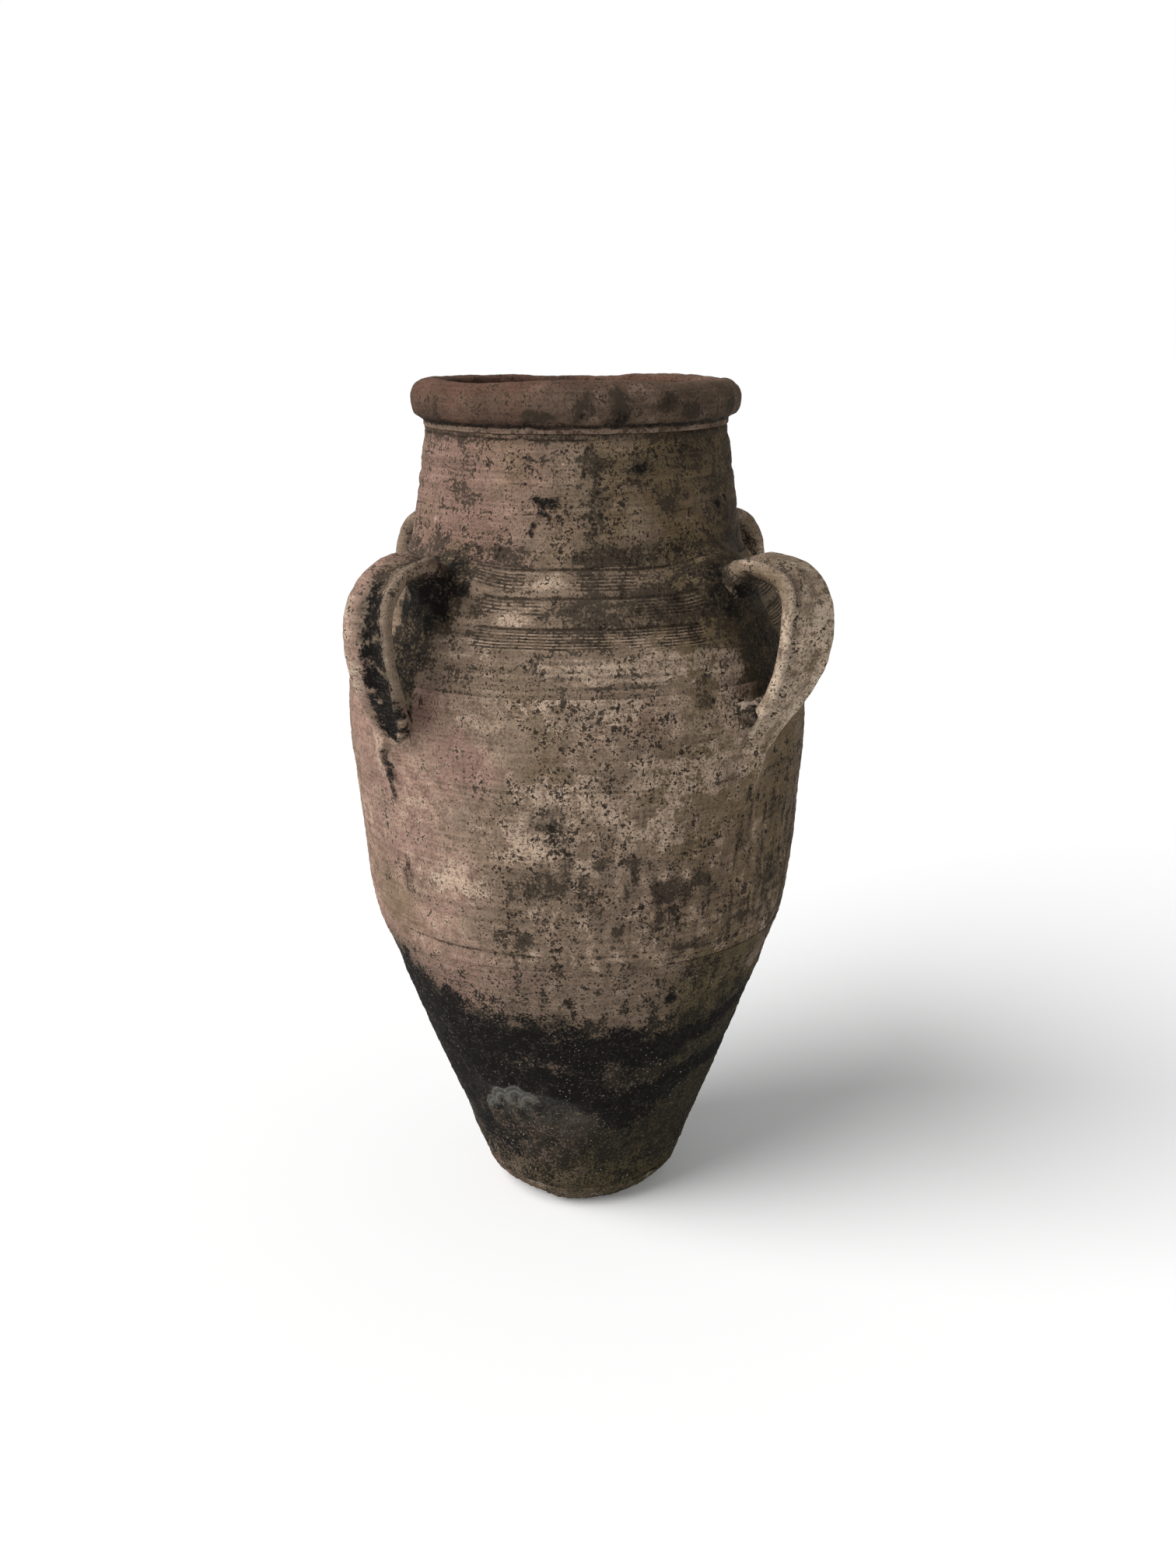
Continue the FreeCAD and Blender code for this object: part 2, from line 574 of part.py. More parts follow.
def wad_profile(sheet, sketch, corners, hollow_alias):
    """A wad's three-cornered profile: a thumbed hollow between two corners, and two lines to the third."""
    (first, first_at), (second, second_at), (buried, buried_at) = corners
    hollow_round = getattr(sheet, hollow_alias)
    chord = second - first
    leftwards = flat(-chord.y, chord.x).normalize()
    stand_off = math.sqrt(hollow_round ** 2 - (chord.Length / 2) ** 2)
    centre = (first + second) * 0.5 + leftwards * stand_off
    from_deg = math.degrees(math.atan2(first.y - centre.y, first.x - centre.x))
    to_deg = math.degrees(math.atan2(second.y - centre.y, second.x - centre.x))
    edges = [
        arc(centre, hollow_round, from_deg, to_deg),
        line(second, buried),
        line(buried, first),
    ]
    hollow, under_second, under_first = range(len(edges))
    sketch.addGeometry(edges, False)
    for pair in ((hollow, END, under_second, START), (under_second, END, under_first, START)):
        tie(sketch, "Coincident", *pair)
    tie(sketch, "Coincident", under_first, END, hollow, START)
    placed = [(hollow, START, first, first_at), (hollow, END, second, second_at)]
    placed.append((under_second, END, buried, buried_at))
    for edge, end, point, (radius_formula, height_formula) in placed:
        drive(sketch, "DistanceX", ORIGIN, START, edge, end, value=point.x, formula=radius_formula)
        drive(sketch, "DistanceY", ORIGIN, START, edge, end, value=point.y, formula=height_formula)
    drive(sketch, "Radius", hollow, value=hollow_round, formula=f"[{hollow_alias}]")


def wad(doc, sheet, outside, strap, place, name, heading):
    """A roll of clay thumbed into the corner between a handle's strap and the wall."""
    root, crown_top, back_end, tail = handle_points(sheet)
    if place == "upper":
        corners = [(crown_top, CROWN_TOP), on_shoulder(sheet, "upper_wad_foot_rise"), (root, ROOT)]
    else:
        corners = [on_shoulder(sheet, "lower_wad_top_rise"), (back_end, BACK_END), (tail, TAIL)]
    body = doc.addObject("PartDesign::Body", f"{place}_clay_{name}")
    sketch = new_sketch(body, f"{place}_corner_{name}", "XZ_Plane")
    wad_profile(sheet, sketch, corners, f"{place}_wad_hollow")
    pad = body.newObject("PartDesign::Pad", f"{place}_roll_{name}")
    pad.Profile = sketch
    pad.SideType = "Symmetric"
    bind(pad, "Length", "[strap_width] - 2 * [wad_inset]")
    doc.recompute()
    hollow_ends = [
        f"Edge{number}"
        for number, edge in enumerate(pad.Shape.Edges, start=1)
        if isinstance(edge.Curve, Part.Circle)
    ]
    softened = body.newObject("PartDesign::Fillet", f"{place}_soft_{name}")
    softened.Base = (pad, hollow_ends)
    bind(softened, "Radius", "[wad_edge_round]")
    body.Placement = Placement(Vector(), Rotation(Vector(0, 0, 1), heading))
    against_wall = boolean(doc, "Cut", f"{place}_clay_on_wall_{name}", body, outside)
    return boolean(doc, "Cut", f"{place}_wad_{name}", against_wall, strap)


def check(doc, pieces):
    """Stops if anything failed to build, before a file is written."""
    for thing in doc.Objects:
        if "Invalid" in thing.State or "Error" in thing.State:
            raise RuntimeError(f"{thing.Name} failed: {thing.State}")
    for piece in pieces:
        if piece.Shape.isNull() or not piece.Shape.isValid() or len(piece.Shape.Solids) != 1:
            raise RuntimeError(f"{piece.Label} is not one sound solid")


def main():
    doc = FreeCAD.newDocument("olive_jar")
    sheet = new_sheet(doc)
    outside = outer_form(doc, sheet)
    wall = wall_form(doc, sheet, outside)
    pieces = wall_zones(doc, outside, wall)
    pieces.append(rim_roll(doc, sheet))
    for name, heading in HANDLES.items():
        strap = handle(doc, sheet, outside, name, heading)
        pieces.append(strap)
        for place in ("upper", "lower"):
            pieces.append(wad(doc, sheet, outside, strap, place, name, heading))
    doc.recompute()
    check(doc, pieces)
    os.makedirs(PARTS_FOLDER, exist_ok=True)
    for piece in pieces:
        piece.Shape.exportStep(os.path.join(PARTS_FOLDER, f"{piece.Label}.step"))
        box = piece.Shape.BoundBox
        print(f"{piece.Label}: {piece.Shape.Volume / 1000:.1f} cm3, z {box.ZMin:.1f} to {box.ZMax:.1f}")


main()
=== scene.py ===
import math

import bmesh
import bpy
import numpy as np
from mathutils import Matrix, Vector, noise
from mathutils.bvhtree import BVHTree


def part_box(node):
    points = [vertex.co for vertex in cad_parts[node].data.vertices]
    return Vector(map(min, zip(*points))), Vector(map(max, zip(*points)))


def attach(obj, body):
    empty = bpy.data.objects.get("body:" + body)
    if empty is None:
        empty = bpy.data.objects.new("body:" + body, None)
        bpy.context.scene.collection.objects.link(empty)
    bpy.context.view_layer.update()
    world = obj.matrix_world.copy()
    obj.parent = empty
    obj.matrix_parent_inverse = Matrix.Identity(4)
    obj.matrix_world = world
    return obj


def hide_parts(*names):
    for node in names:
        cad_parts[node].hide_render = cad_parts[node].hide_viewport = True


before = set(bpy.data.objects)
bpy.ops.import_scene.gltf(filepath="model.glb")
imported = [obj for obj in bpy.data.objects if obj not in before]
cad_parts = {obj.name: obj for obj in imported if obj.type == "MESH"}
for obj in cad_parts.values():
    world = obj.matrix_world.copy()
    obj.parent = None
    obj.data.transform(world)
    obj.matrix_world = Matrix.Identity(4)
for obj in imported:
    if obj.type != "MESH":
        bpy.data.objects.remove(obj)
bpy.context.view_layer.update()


# Foot disc: the flat clay disc that is the jar's floor, cut off the wheel with a wire.
# Coarse earthenware, sooty, worn round at the edge and chipped where the jar was rolled about.
# The wall is thrown straight on to it while both are wet.
MM = 0.001
WHEEL_STEPS = 480
FRONT_DEGREES = 42.5
FRONT = math.radians(FRONT_DEGREES)
TURNED = ["foot_disc", "lower_wall", "belly_wall", "shoulder_wall", "neck_wall"]
FOOT_FLAT = 55 * MM
FOOT_ROUND = 40 * MM
CHIP_DEPTH = 2.2
BREAK_DEPTH = 3
EDGE_TOP = 30 * MM
FLOOR_CORNER_TOP = 40 * MM
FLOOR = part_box("foot_disc")[1].z
FOOT_SWEEP = math.acos(1 - FLOOR / FOOT_ROUND)
RIM_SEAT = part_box("neck_wall")[1].z


def node_skin(nodes):
    """The faces of some CAD nodes, to measure against."""
    corners, faces = [], []
    for node in nodes:
        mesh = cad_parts[node].data
        start = len(corners)
        corners += [v.co.copy() for v in mesh.vertices]
        faces += [[start + i for i in p.vertices] for p in mesh.polygons]
    return BVHTree.FromPolygons(corners, faces)


def smoothed(radii, reach=7):
    """The same profile without the CAD mesh's small flats."""
    padded = np.pad(radii, reach, mode="reflect", reflect_type="odd")
    return np.convolve(padded, np.ones(2 * reach + 1) / (2 * reach + 1), "valid")


jar_skin = node_skin(TURNED)
levels = np.arange(0.5 * MM, RIM_SEAT, MM)
beside = 0.7 * MM
outside = [jar_skin.ray_cast(Vector((1, beside, z)), Vector((-1, 0, 0)))[0].x for z in levels]
inside = [jar_skin.ray_cast(Vector((0, beside, z)), Vector((1, 0, 0)))[0].x for z in levels]
outside = np.where(levels > EDGE_TOP, smoothed(np.array(outside)), outside)
inside = np.where(levels > FLOOR_CORNER_TOP, smoothed(np.array(inside)), inside)
slopes = np.gradient(outside, levels)


def jar_radius(z):
    return np.interp(z, levels, outside)


def cavity_radius(z):
    return np.interp(z, levels, inside)


def turn_on_wheel(bm):
    """Spins a section round the jar's axis into a closed skin that faces outwards."""
    shares = 16
    bmesh.ops.spin(
        bm, geom=bm.verts[:] + bm.edges[:], cent=(0, 0, 0), axis=(0, 0, 1), dvec=(0, 0, 0),
        angle=math.tau / shares, steps=WHEEL_STEPS // shares,
    )
    while shares > 1:
        copy = bmesh.ops.duplicate(bm, geom=bm.verts[:] + bm.edges[:] + bm.faces[:])["geom"]
        moved = [v for v in copy if isinstance(v, bmesh.types.BMVert)]
        bmesh.ops.rotate(bm, verts=moved, cent=(0, 0, 0), matrix=Matrix.Rotation(math.tau / shares, 3, "Z"))
        shares //= 2
    bmesh.ops.remove_doubles(bm, verts=bm.verts, dist=0.001 * MM)
    bmesh.ops.recalc_face_normals(bm, faces=bm.faces)


def points_of(mesh):
    co = np.empty(len(mesh.vertices) * 3, np.float32)
    mesh.vertices.foreach_get("co", co)
    return co.reshape(-1, 3).astype(float)


def put_points(mesh, points):
    mesh.vertices.foreach_set("co", points.astype(np.float32).ravel())
    mesh.update()


def from_front(points):
    """Degrees round the jar from the side in the picture, more to the right."""
    across = points[:, 0] * math.cos(FRONT) + points[:, 1] * math.sin(FRONT)
    towards = points[:, 0] * math.sin(FRONT) - points[:, 1] * math.cos(FRONT)
    return np.degrees(np.arctan2(across, towards))


def cloud(points, size, octaves=3, seed=0.0):
    """Soft random relief or tone, about -1 to 1, in lumps this many mm across, or a size for each axis."""
    scaled = points / (np.array(size) * MM) + np.array([seed * 17.3, seed * -9.1, seed * 5.7])
    return 1.5 * np.array([noise.fractal(p, 1.0, 2.0, octaves) for p in scaled.tolist()])


def ease(value, low, high):
    """0 below low, 1 above high, and smooth between."""
    t = np.clip((value - low) / (high - low), 0, 1)
    return t * t * (3 - 2 * t)


def between(value, rise, full, fade, end):
    """1 from full to fade, 0 below rise and above end, and smooth between."""
    return ease(value, rise, full) * (1 - ease(value, fade, end))


def across_from(points, turn):
    """How far round the wall points lie from a turn, in mm, more to the right."""
    off = (from_front(points) - turn + 180) % 360 - 180
    return np.radians(off) * np.hypot(points[:, 0], points[:, 1]) / MM


def stain(points, ragged, turn, height, wide, tall):
    """How thick a stain lies: its middle in degrees from the front and mm up, its half sizes in mm."""
    far = np.hypot(across_from(points, turn) / wide, (points[:, 2] / MM - height) / tall)
    return 1 - ease(far + 0.45 * ragged, 0.3, 1.15)


def stains(points, ragged, *places):
    """How thick the thickest of several stains lies."""
    return np.max([stain(points, ragged, *place) for place in places], axis=0)


def hand_worked(points):
    """How far the potter's hands left the wall proud of a true turned form, in mm."""
    turn = np.radians(from_front(points))
    height = points[:, 2]
    wobble = 0.8 * np.cos(2 * turn + 0.7) + 0.5 * np.cos(3 * turn + 9 * height)
    dents = 1.1 * cloud(points, 95, 2, 1)
    lumps = 0.45 * cloud(points, 24, 3, 2)
    rings = 0.30 * cloud(points, (600, 600, 7), 2, 3)
    return wobble + dents + lumps + rings


def foot_chips(points, ragged):
    """Where flakes have broken off round the foot."""
    return stains(
        points, ragged, (-54, 35, 9, 6), (-30, 20, 13, 6), (9, 12, 10, 5), (44, 21, 9, 6), (86, 27, 10, 7),
        (131, 14, 14, 6), (178, 24, 9, 7), (-137, 18, 12, 6), (-96, 30, 8, 5),
    )


def foot_losses(points, chips):
    """How deep the foot's edge has worn away, in mm: its chips, and one long break at the front left."""
    broken = stain(points, 0.4 * cloud(points, 14, 3, 24), -42, 10, 42, 20)
    return CHIP_DEPTH * chips + BREAK_DEPTH * broken


def press(mesh, offset):
    """Moves the outer face by these mm, square to the jar's profile, and fades out to the inside."""
    points = points_of(mesh)
    height = points[:, 2]
    radius = np.hypot(points[:, 0], points[:, 1])
    slope = np.interp(height, levels, slopes)
    square = 1 / np.sqrt(1 + slope ** 2)
    depth = jar_radius(height) - radius
    moved = offset * MM * (1 - ease(depth, 1 * MM, 10 * MM))
    out = moved * square / np.maximum(radius, MM)
    points[:, 0] *= 1 + out
    points[:, 1] *= 1 + out
    points[:, 2] = np.maximum(height - moved * square * slope, 0)
    put_points(mesh, points)


def outer_face(points):
    """1 on the jar's outer face, 0 inside it."""
    depth = jar_radius(points[:, 2]) - np.hypot(points[:, 0], points[:, 1])
    return 1 - ease(depth, 2 * MM, 8 * MM)


def weathering(points):
    """The coats that lie all over the jar: bare pink clay on its left, olive grime on its right, specks."""
    turn = from_front(points)
    height = points[:, 2] / MM
    left = between(-turn, 0, 60, 130, 175)
    right = between(turn, -5, 50, 120, 175)
    belly_front = between(turn, -45, -15, 35, 75) * between(height, 340, 400, 520, 560)
    drift = cloud(points, 110, 3, 11)
    skin = outer_face(points)
    return {
        "rose": skin * (0.16 + 0.50 * left - 0.12 * right + 0.35 * drift) + (1 - skin) * 0.5,
        "moss": skin * (0.12 + 0.55 * right - 0.25 * drift),
        "pale": skin * (0.16 + 0.14 * drift + 0.16 * belly_front),
        "dirt_and_shade": skin * (0.16 + 0.14 * right + 0.24 * cloud(points, 45, 4, 12)) + (1 - skin) * 0.25,
        "specks": skin * (0.82 - 0.35 * left + 0.25 * cloud(points, 60, 3, 13)),
        "soot_and_shade": 0 * turn,
    }


def paint(piece, coats):
    """Stores how thickly each coat lies on each point of a piece, from 0 to 1, for its finish to read."""
    for coat, thickness in coats.items():
        layer = piece.data.attributes.new(coat, "FLOAT", "POINT")
        layer.data.foreach_set("value", np.clip(thickness, 0, 1).astype(np.float32))


def fired(red, green, blue):
    """A colour as a picture's numbers give it, made linear for a finish."""
    parts = [(c / 255 + 0.055) / 1.055 for c in (red, green, blue)]
    return [p ** 2.4 for p in parts] + [1]


def clay_finish(name, clay, rose, pale, moss, dirt_and_shade, grit):
    """Old earthenware: mottled clay under coats of grime, soot and specks, with a grainy, pitted face. The
    grime and soot coats also carry painted shade.
    """
    material = bpy.data.materials.new(name)
    material.use_nodes = True
    nodes, links = material.node_tree.nodes, material.node_tree.links

    def add(kind, inputs, **settings):
        node = nodes.new("ShaderNode" + kind)
        for setting, value in settings.items():
            setattr(node, setting, value)
        for socket, value in inputs.items():
            if isinstance(value, bpy.types.NodeSocket):
                links.new(value, node.inputs[socket])
            else:
                node.inputs[socket].default_value = value
        return node

    def sum_of(*terms):
        total = 0.0
        for value, weight in terms:
            part = add("Math", {0: value, 1: weight, 2: total}, operation="MULTIPLY_ADD")
            total = part.outputs[0]
        return total

    def step(value, low, high, least=0.0, most=1.0):
        reach = {"Value": value, "From Min": low, "From Max": high, "To Min": least, "To Max": most}
        return add("MapRange", reach, interpolation_type="SMOOTHSTEP").outputs["Result"]

    def times(value, other):
        return add("Math", {0: value, 1: other}, operation="MULTIPLY").outputs[0]

    def either(value, other):
        return add("Math", {0: value, 1: other}, operation="MAXIMUM").outputs[0]

    def lay(under, over, thickness, blend="MIX"):
        mix = add("Mix", {0: thickness, 6: under, 7: over}, data_type="RGBA", blend_type=blend)
        return mix.outputs[2]

    def coat(name):
        return add("Attribute", {}, attribute_name=name).outputs["Fac"]

    place = nodes.new("ShaderNodeTexCoord").outputs["Object"]

    def mottle(scale, detail=4.0, stretch=(1, 1, 1)):
        spot = add("Mapping", {"Vector": place, "Scale": stretch}).outputs[0]
        cloudy = {"Vector": spot, "Scale": scale, "Detail": detail, "Roughness": 0.6}
        return sum_of((add("TexNoise", cloudy).outputs["Fac"], 1.0), (1.0, -0.5))

    grain = mottle(430)
    patchy = mottle(85, 6.0)
    drifts = mottle(22, 5.0)
    wheel_lines = mottle(9, 3.0, (1, 1, 45))
    runs = mottle(230, 3.0, (1, 1, 0.06))

    shaken = add("TexNoise", {"Vector": place, "Scale": 300.0}).outputs["Color"]
    reach = 6 * MM
    uneven = {0: shaken, 1: (reach, reach, reach), 2: place}
    shaken_place = add("VectorMath", uneven, operation="MULTIPLY_ADD").outputs[0]

    def spots(scale, most, density):
        cells = add("TexVoronoi", {"Vector": shaken_place, "Scale": scale})
        chance = add("SeparateColor", {"Color": cells.outputs["Color"]}).outputs[0]
        size = times(times(chance, density), most)
        return step(sum_of((size, 1.0), (cells.outputs["Distance"], -1.0)), -0.03, 0.09)

    specks = times(coat("specks"), step(sum_of((drifts, 1.0), (patchy, 1.2)), -0.25, 0.25, 0.5, 1.3))
    rare = times(specks, specks)
    dots = either(spots(330, 0.52, specks), spots(130, 0.32, rare))
    dots = either(dots, spots(620, 0.46, specks))
    crust_and_shade = sum_of((coat("dirt_and_shade"), 1.0), (grain, 3.4), (patchy, 2.2), (runs, 1.2))
    burn_and_shade = sum_of((coat("soot_and_shade"), 1.0), (grain, 2.2), (patchy, 1.2))
    chalk = sum_of((coat("pale"), 1.0), (grain, 2.4), (patchy, 2.4))

    tone = lay(clay, rose, step(sum_of((coat("rose"), 1.0), (drifts, 1.2), (patchy, 0.8)), 0.1, 0.9))
    tone = lay(tone, moss, step(sum_of((coat("moss"), 1.0), (drifts, 1.2), (grain, 0.8)), 0.15, 0.95))
    tone = lay(tone, pale, step(chalk, 0.25, 0.95))
    shade = sum_of((grain, 1.3), (patchy, 1.1), (wheel_lines, 0.5), (runs, 0.4))
    tone = lay(tone, step(shade, -0.45, 0.45, 0.42, 1.48), 1.0, "MULTIPLY")
    # The dark grime coat: real grime, and painted shade where the pieces lay it.
    tone = lay(tone, dirt_and_shade, step(crust_and_shade, 0.30, 0.90, 0.0, 0.92))
    black_lichen, soot_and_shade_black = fired(37, 31, 26), fired(20, 19, 18)
    grey_lichen, white_grit = fired(112, 110, 104), fired(182, 171, 156)
    tone = lay(tone, black_lichen, times(dots, 0.90))
    # The black soot coat: real soot, and painted shade where the pieces lay it.
    tone = lay(tone, soot_and_shade_black, step(burn_and_shade, 0.05, 0.95, 0.0, 0.98))
    tone = lay(tone, grey_lichen, times(coat("lichen"), 0.75))
    gritty = step(sum_of((drifts, 1.2), (patchy, 1.0)), -0.10, 0.28, 0.12, 0.90)
    tone = lay(tone, white_grit, times(spots(360, 0.36, grit), gritty))

    surface = nodes["Principled BSDF"]
    links.new(tone, surface.inputs["Base Color"])
    dullness = step(sum_of((grain, 1.0), (patchy, 1.0)), -0.3, 0.3, 0.80, 0.98)
    links.new(dullness, surface.inputs["Roughness"])
    surface.inputs["Specular IOR Level"].default_value = 0.08
    relief = sum_of((grain, 0.9), (patchy, 1.2), (wheel_lines, 0.5), (dots, -0.35))
    bump = add("Bump", {"Height": relief, "Strength": 0.55, "Distance": 1.2 * MM})
    links.new(bump.outputs[0], surface.inputs["Normal"])
    return material


def finish_piece(name, bm, node):
    """Makes the mesh an object that stands for a CAD node."""
    mesh = bpy.data.meshes.new(name)
    bm.to_mesh(mesh)
    bm.free()
    mesh.polygons.foreach_set("use_smooth", [True] * len(mesh.polygons))
    piece = bpy.data.objects.new(name, mesh)
    bpy.context.scene.collection.objects.link(piece)
    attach(piece, "root")
    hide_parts(node)
    return piece


sooty_clay = clay_finish(
    "sooty_clay", clay=fired(132, 113, 97), rose=fired(146, 117, 104), pale=fired(150, 140, 128),
    moss=fired(92, 82, 58), dirt_and_shade=fired(39, 36, 30), grit=0.74,
)

bm = bmesh.new()
worn_edge = bm.verts.new((FOOT_FLAT, 0, 0))
worn = bmesh.ops.spin(
    bm, geom=[worn_edge], cent=(FOOT_FLAT, 0, FOOT_ROUND), axis=(0, -1, 0), dvec=(0, 0, 0),
    angle=FOOT_SWEEP, steps=34,
)
seat_edge = [v for v in worn["geom_last"] if isinstance(v, bmesh.types.BMVert)][0]
floor_middle = bm.verts.new((0, 0, FLOOR))
base_middle = bm.verts.new((0, 0, 0))
flats = [bm.edges.new((seat_edge, floor_middle)), bm.edges.new((base_middle, worn_edge))]
bmesh.ops.subdivide_edges(bm, edges=flats, cuts=7)
turn_on_wheel(bm)
foot_disc = finish_piece("clay_foot_disc", bm, "foot_disc")
foot_disc.data.materials.append(sooty_clay)

points = points_of(foot_disc.data)
ragged = cloud(points, 16, 4, 21)
chips = foot_chips(points, ragged)
pitted = 0.5 * cloud(points, 5, 3, 22)
press(foot_disc.data, hand_worked(points) + pitted - foot_losses(points, chips))
coats = weathering(points)
coats["dirt_and_shade"] = np.maximum(coats["dirt_and_shade"], 0.50 + 0.15 * ragged) * (1 - 0.8 * chips)
coats["moss"] += 0.40
coats["pale"] += 0.5 * chips
coats["rose"] += chips
paint(foot_disc, coats)


# Lower wall: the cone-shaped first zone, thrown on the foot disc and left to stiffen.
# Earthenware like the rest, blackened outside by cooking fires and stained by damp ground.
# Its upper edge is cut to a bevel, on which the belly is luted with slip.
def wall_section(outer_low, outer_high, inner_low, inner_high, rows, inner_rows):
    """A wall zone's section between two bevelled seams, finely divided on the outside."""
    bm = bmesh.new()
    heights = [outer_low, outer_high, inner_high, inner_low]
    radii = [
        jar_radius(outer_low), jar_radius(outer_high), cavity_radius(inner_high), cavity_radius(inner_low),
    ]
    corners = [bm.verts.new((r, 0, z)) for r, z in zip(radii, heights)]
    sides = [bm.edges.new((corners[i], corners[(i + 1) % 4])) for i in range(4)]
    for side, cuts, radius in ((sides[0], rows, jar_radius), (sides[2], inner_rows, cavity_radius)):
        new = bmesh.ops.subdivide_edges(bm, edges=[side], cuts=cuts)["geom_inner"]
        for vert in new:
            if isinstance(vert, bmesh.types.BMVert):
                vert.co.x = radius(vert.co.z)
    return bm


def seam_heights(node):
    """The heights of a zone's four seam corners: outer low, outer high, inner low and inner high."""
    near = 0.8 * MM
    rings = np.array([(math.hypot(v.co.x, v.co.y), v.co.z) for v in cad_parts[node].data.vertices])
    outer = rings[np.abs(rings[:, 0] - jar_radius(rings[:, 1])) < near][:, 1]
    inner = rings[np.abs(rings[:, 0] - cavity_radius(rings[:, 1])) < near][:, 1]
    return outer.min(), outer.max(), inner.min(), inner.max()


def throw_zone(node, rows, inner_rows):
    """One wall zone as a piece, spun round the jar's axis from its section."""
    bm = wall_section(*seam_heights(node), rows, inner_rows)
    turn_on_wheel(bm)
    return finish_piece(f"clay_{node}", bm, node)


def soot_band(points, ragged, turns, heights, halves):
    """A smoke-black band round the jar whose middle and half width change with the turn."""
    turn = from_front(points)
    middle = np.interp(turn, turns, heights)
    half = np.interp(turn, turns, halves)
    return 1 - ease(np.abs(points[:, 2] / MM - middle) / half + 0.55 * ragged, 0.25, 1.65)


def lichen(points, ragged, *lobes):
    """Grey lichen in lobes with fine rings, each grown up and out from a middle in degrees and mm up."""
    crusts = []
    for turn, height, spread in lobes:
        off, up = across_from(points, turn), points[:, 2] / MM - height
        far = (np.hypot(off, 0.8 * up) + 1.5 * ragged) / spread
        rings = 0.30 + 0.70 * (0.5 + 0.5 * np.cos(3 * math.tau * far))
        grown = ease((up - 0.7 * off) / spread, -0.3, 0.5)
        crusts.append(grown * rings * between(far, 0.25, 0.5, 0.95, 1.1))
    return np.max(crusts, axis=0)


def front_blotches(points):
    """Upright blotches of grime, thicker above 0 and thinner below, across the front alone."""
    return cloud(points, (11, 11, 24), 3, 38) * between(from_front(points), -34, -8, 75, 120)


lower_wall = throw_zone("lower_wall", rows=150, inner_rows=14)
lower_wall.data.materials.append(sooty_clay)

points = points_of(lower_wall.data)
turn, height, skin = from_front(points), points[:, 2] / MM, outer_face(points)
ragged = cloud(points, 26, 5, 21)
chips = foot_chips(points, ragged)
scraped = 0.35 * cloud(points, (70, 70, 5), 3, 23)
pitted = 0.4 * cloud(points, 5, 3, 22)
press(lower_wall.data, hand_worked(points) + scraped + pitted - foot_losses(points, chips))

smoked_to = np.interp(
    turn, (-180, -110, -60, -38, -20, 25, 60, 110, 180), (238, 254, 254, 228, 216, 204, 216, 205, 238),
)
smoke = ease(smoked_to - height + 20 * ragged, -52, 36)
upper_soot = soot_band(
    points, ragged, (-180, -110, -60, -40, 0, 25, 45, 62, 95, 180),
    (190, 200, 220, 195, 190, 184, 193, 206, 200, 190), (25, 24, 30, 30, 24, 17, 11, 9, 14, 25),
)
lower_soot = soot_band(
    points, ragged, (-180, -110, -60, -40, -5, 18, 30, 45, 62, 100, 180),
    (120, 130, 165, 152, 150, 120, 128, 148, 150, 140, 120), (28, 26, 46, 36, 24, 26, 18, 10, 8, 16, 28),
)
left_smoke = stains(points, ragged, (-62, 195, 66, 66), (-42, 140, 46, 54), (-50, 90, 40, 50))
smoke_spot = stain(points, ragged, 27, 240, 7, 8)
veil = stains(points, ragged, (-20, 118, 34, 26), (-2, 108, 28, 20), (-40, 128, 20, 16), (150, 110, 50, 30))
thick_lichen = lichen(
    points, ragged, (-38, 112, 11), (-33, 121, 13), (-26, 127, 13), (-21, 124, 11),
    (158, 116, 12), (164, 124, 14), (171, 121, 12),
)
thin_lichen = lichen(points, ragged, (-27, 112, 15), (-16, 118, 15), (-8, 112, 16), (-2, 100, 15))
at_foot = 1 - ease(height, 30, 80)
blotchy = front_blotches(points) * ease(height, 130, 190)
flaked = stains(points, ragged, (-44, 209, 10, 8), (-33, 166, 5, 4), (-18, 140, 5, 4))
coats = weathering(points)
coats["lichen"] = skin * (thick_lichen + 0.20 * thin_lichen + 0.06 * veil)
coats["soot_and_shade"] = skin * (
    np.maximum(upper_soot, lower_soot) + 0.78 * left_smoke + 0.22 * smoke - 0.3 * veil + smoke_spot
)
grimed = np.maximum(coats["dirt_and_shade"], 0.10 + 0.92 * smoke - 0.38 * at_foot)
coats["dirt_and_shade"] = skin * (grimed - 0.4 * chips + 0.45 * blotchy) + (1 - skin) * 0.3
coats["moss"] += 0.50 * (1 - ease(height, 60, 170)) + 0.55 * ease(turn, 15, 45) * smoke
coats["rose"] += chips - 0.5 * smoke + flaked
coats["pale"] += skin * (0.5 * chips - 0.25 * smoke)
coats["specks"] += skin * 0.55 * ease(height, 190, 240)
paint(lower_wall, coats)


# Belly wall: the second zone, thrown on the stiffened cone, from the knee to under the handles.
# Earthenware, bare and pink on one flank, speckled with lichen and streaked with drips on the other.
# A ring at the knee shows where the two zones were luted and smoothed over.
HEADINGS = {"front_right": 1.5, "back_right": 91.0, "back_left": 172.5, "front_left": 270.0}
HANDLE_TURNS = [heading + 90 - FRONT_DEGREES for heading in HEADINGS.values()]
HOLLOW_LEANS = (5, 4, -5, -5)
TAIL_TURNS = (45.0, 137.5, 221.5, -50.2)
TONGUE_THICK = 10
JOIN_RINGS = [(291, 1.3, 1.0), (437, 1.1, 0.6), (331, 1.0, 0.5)]
weathered_clay = clay_finish(
    "weathered_clay", clay=fired(137, 118, 101), rose=fired(151, 121, 108), pale=fired(180, 158, 138),
    moss=fired(116, 99, 74), dirt_and_shade=fired(55, 48, 40), grit=0.12,
)


def furrow(off, half):
    """A narrow groove's depth, 1 along its middle."""
    return np.exp(-(off / half) ** 2)


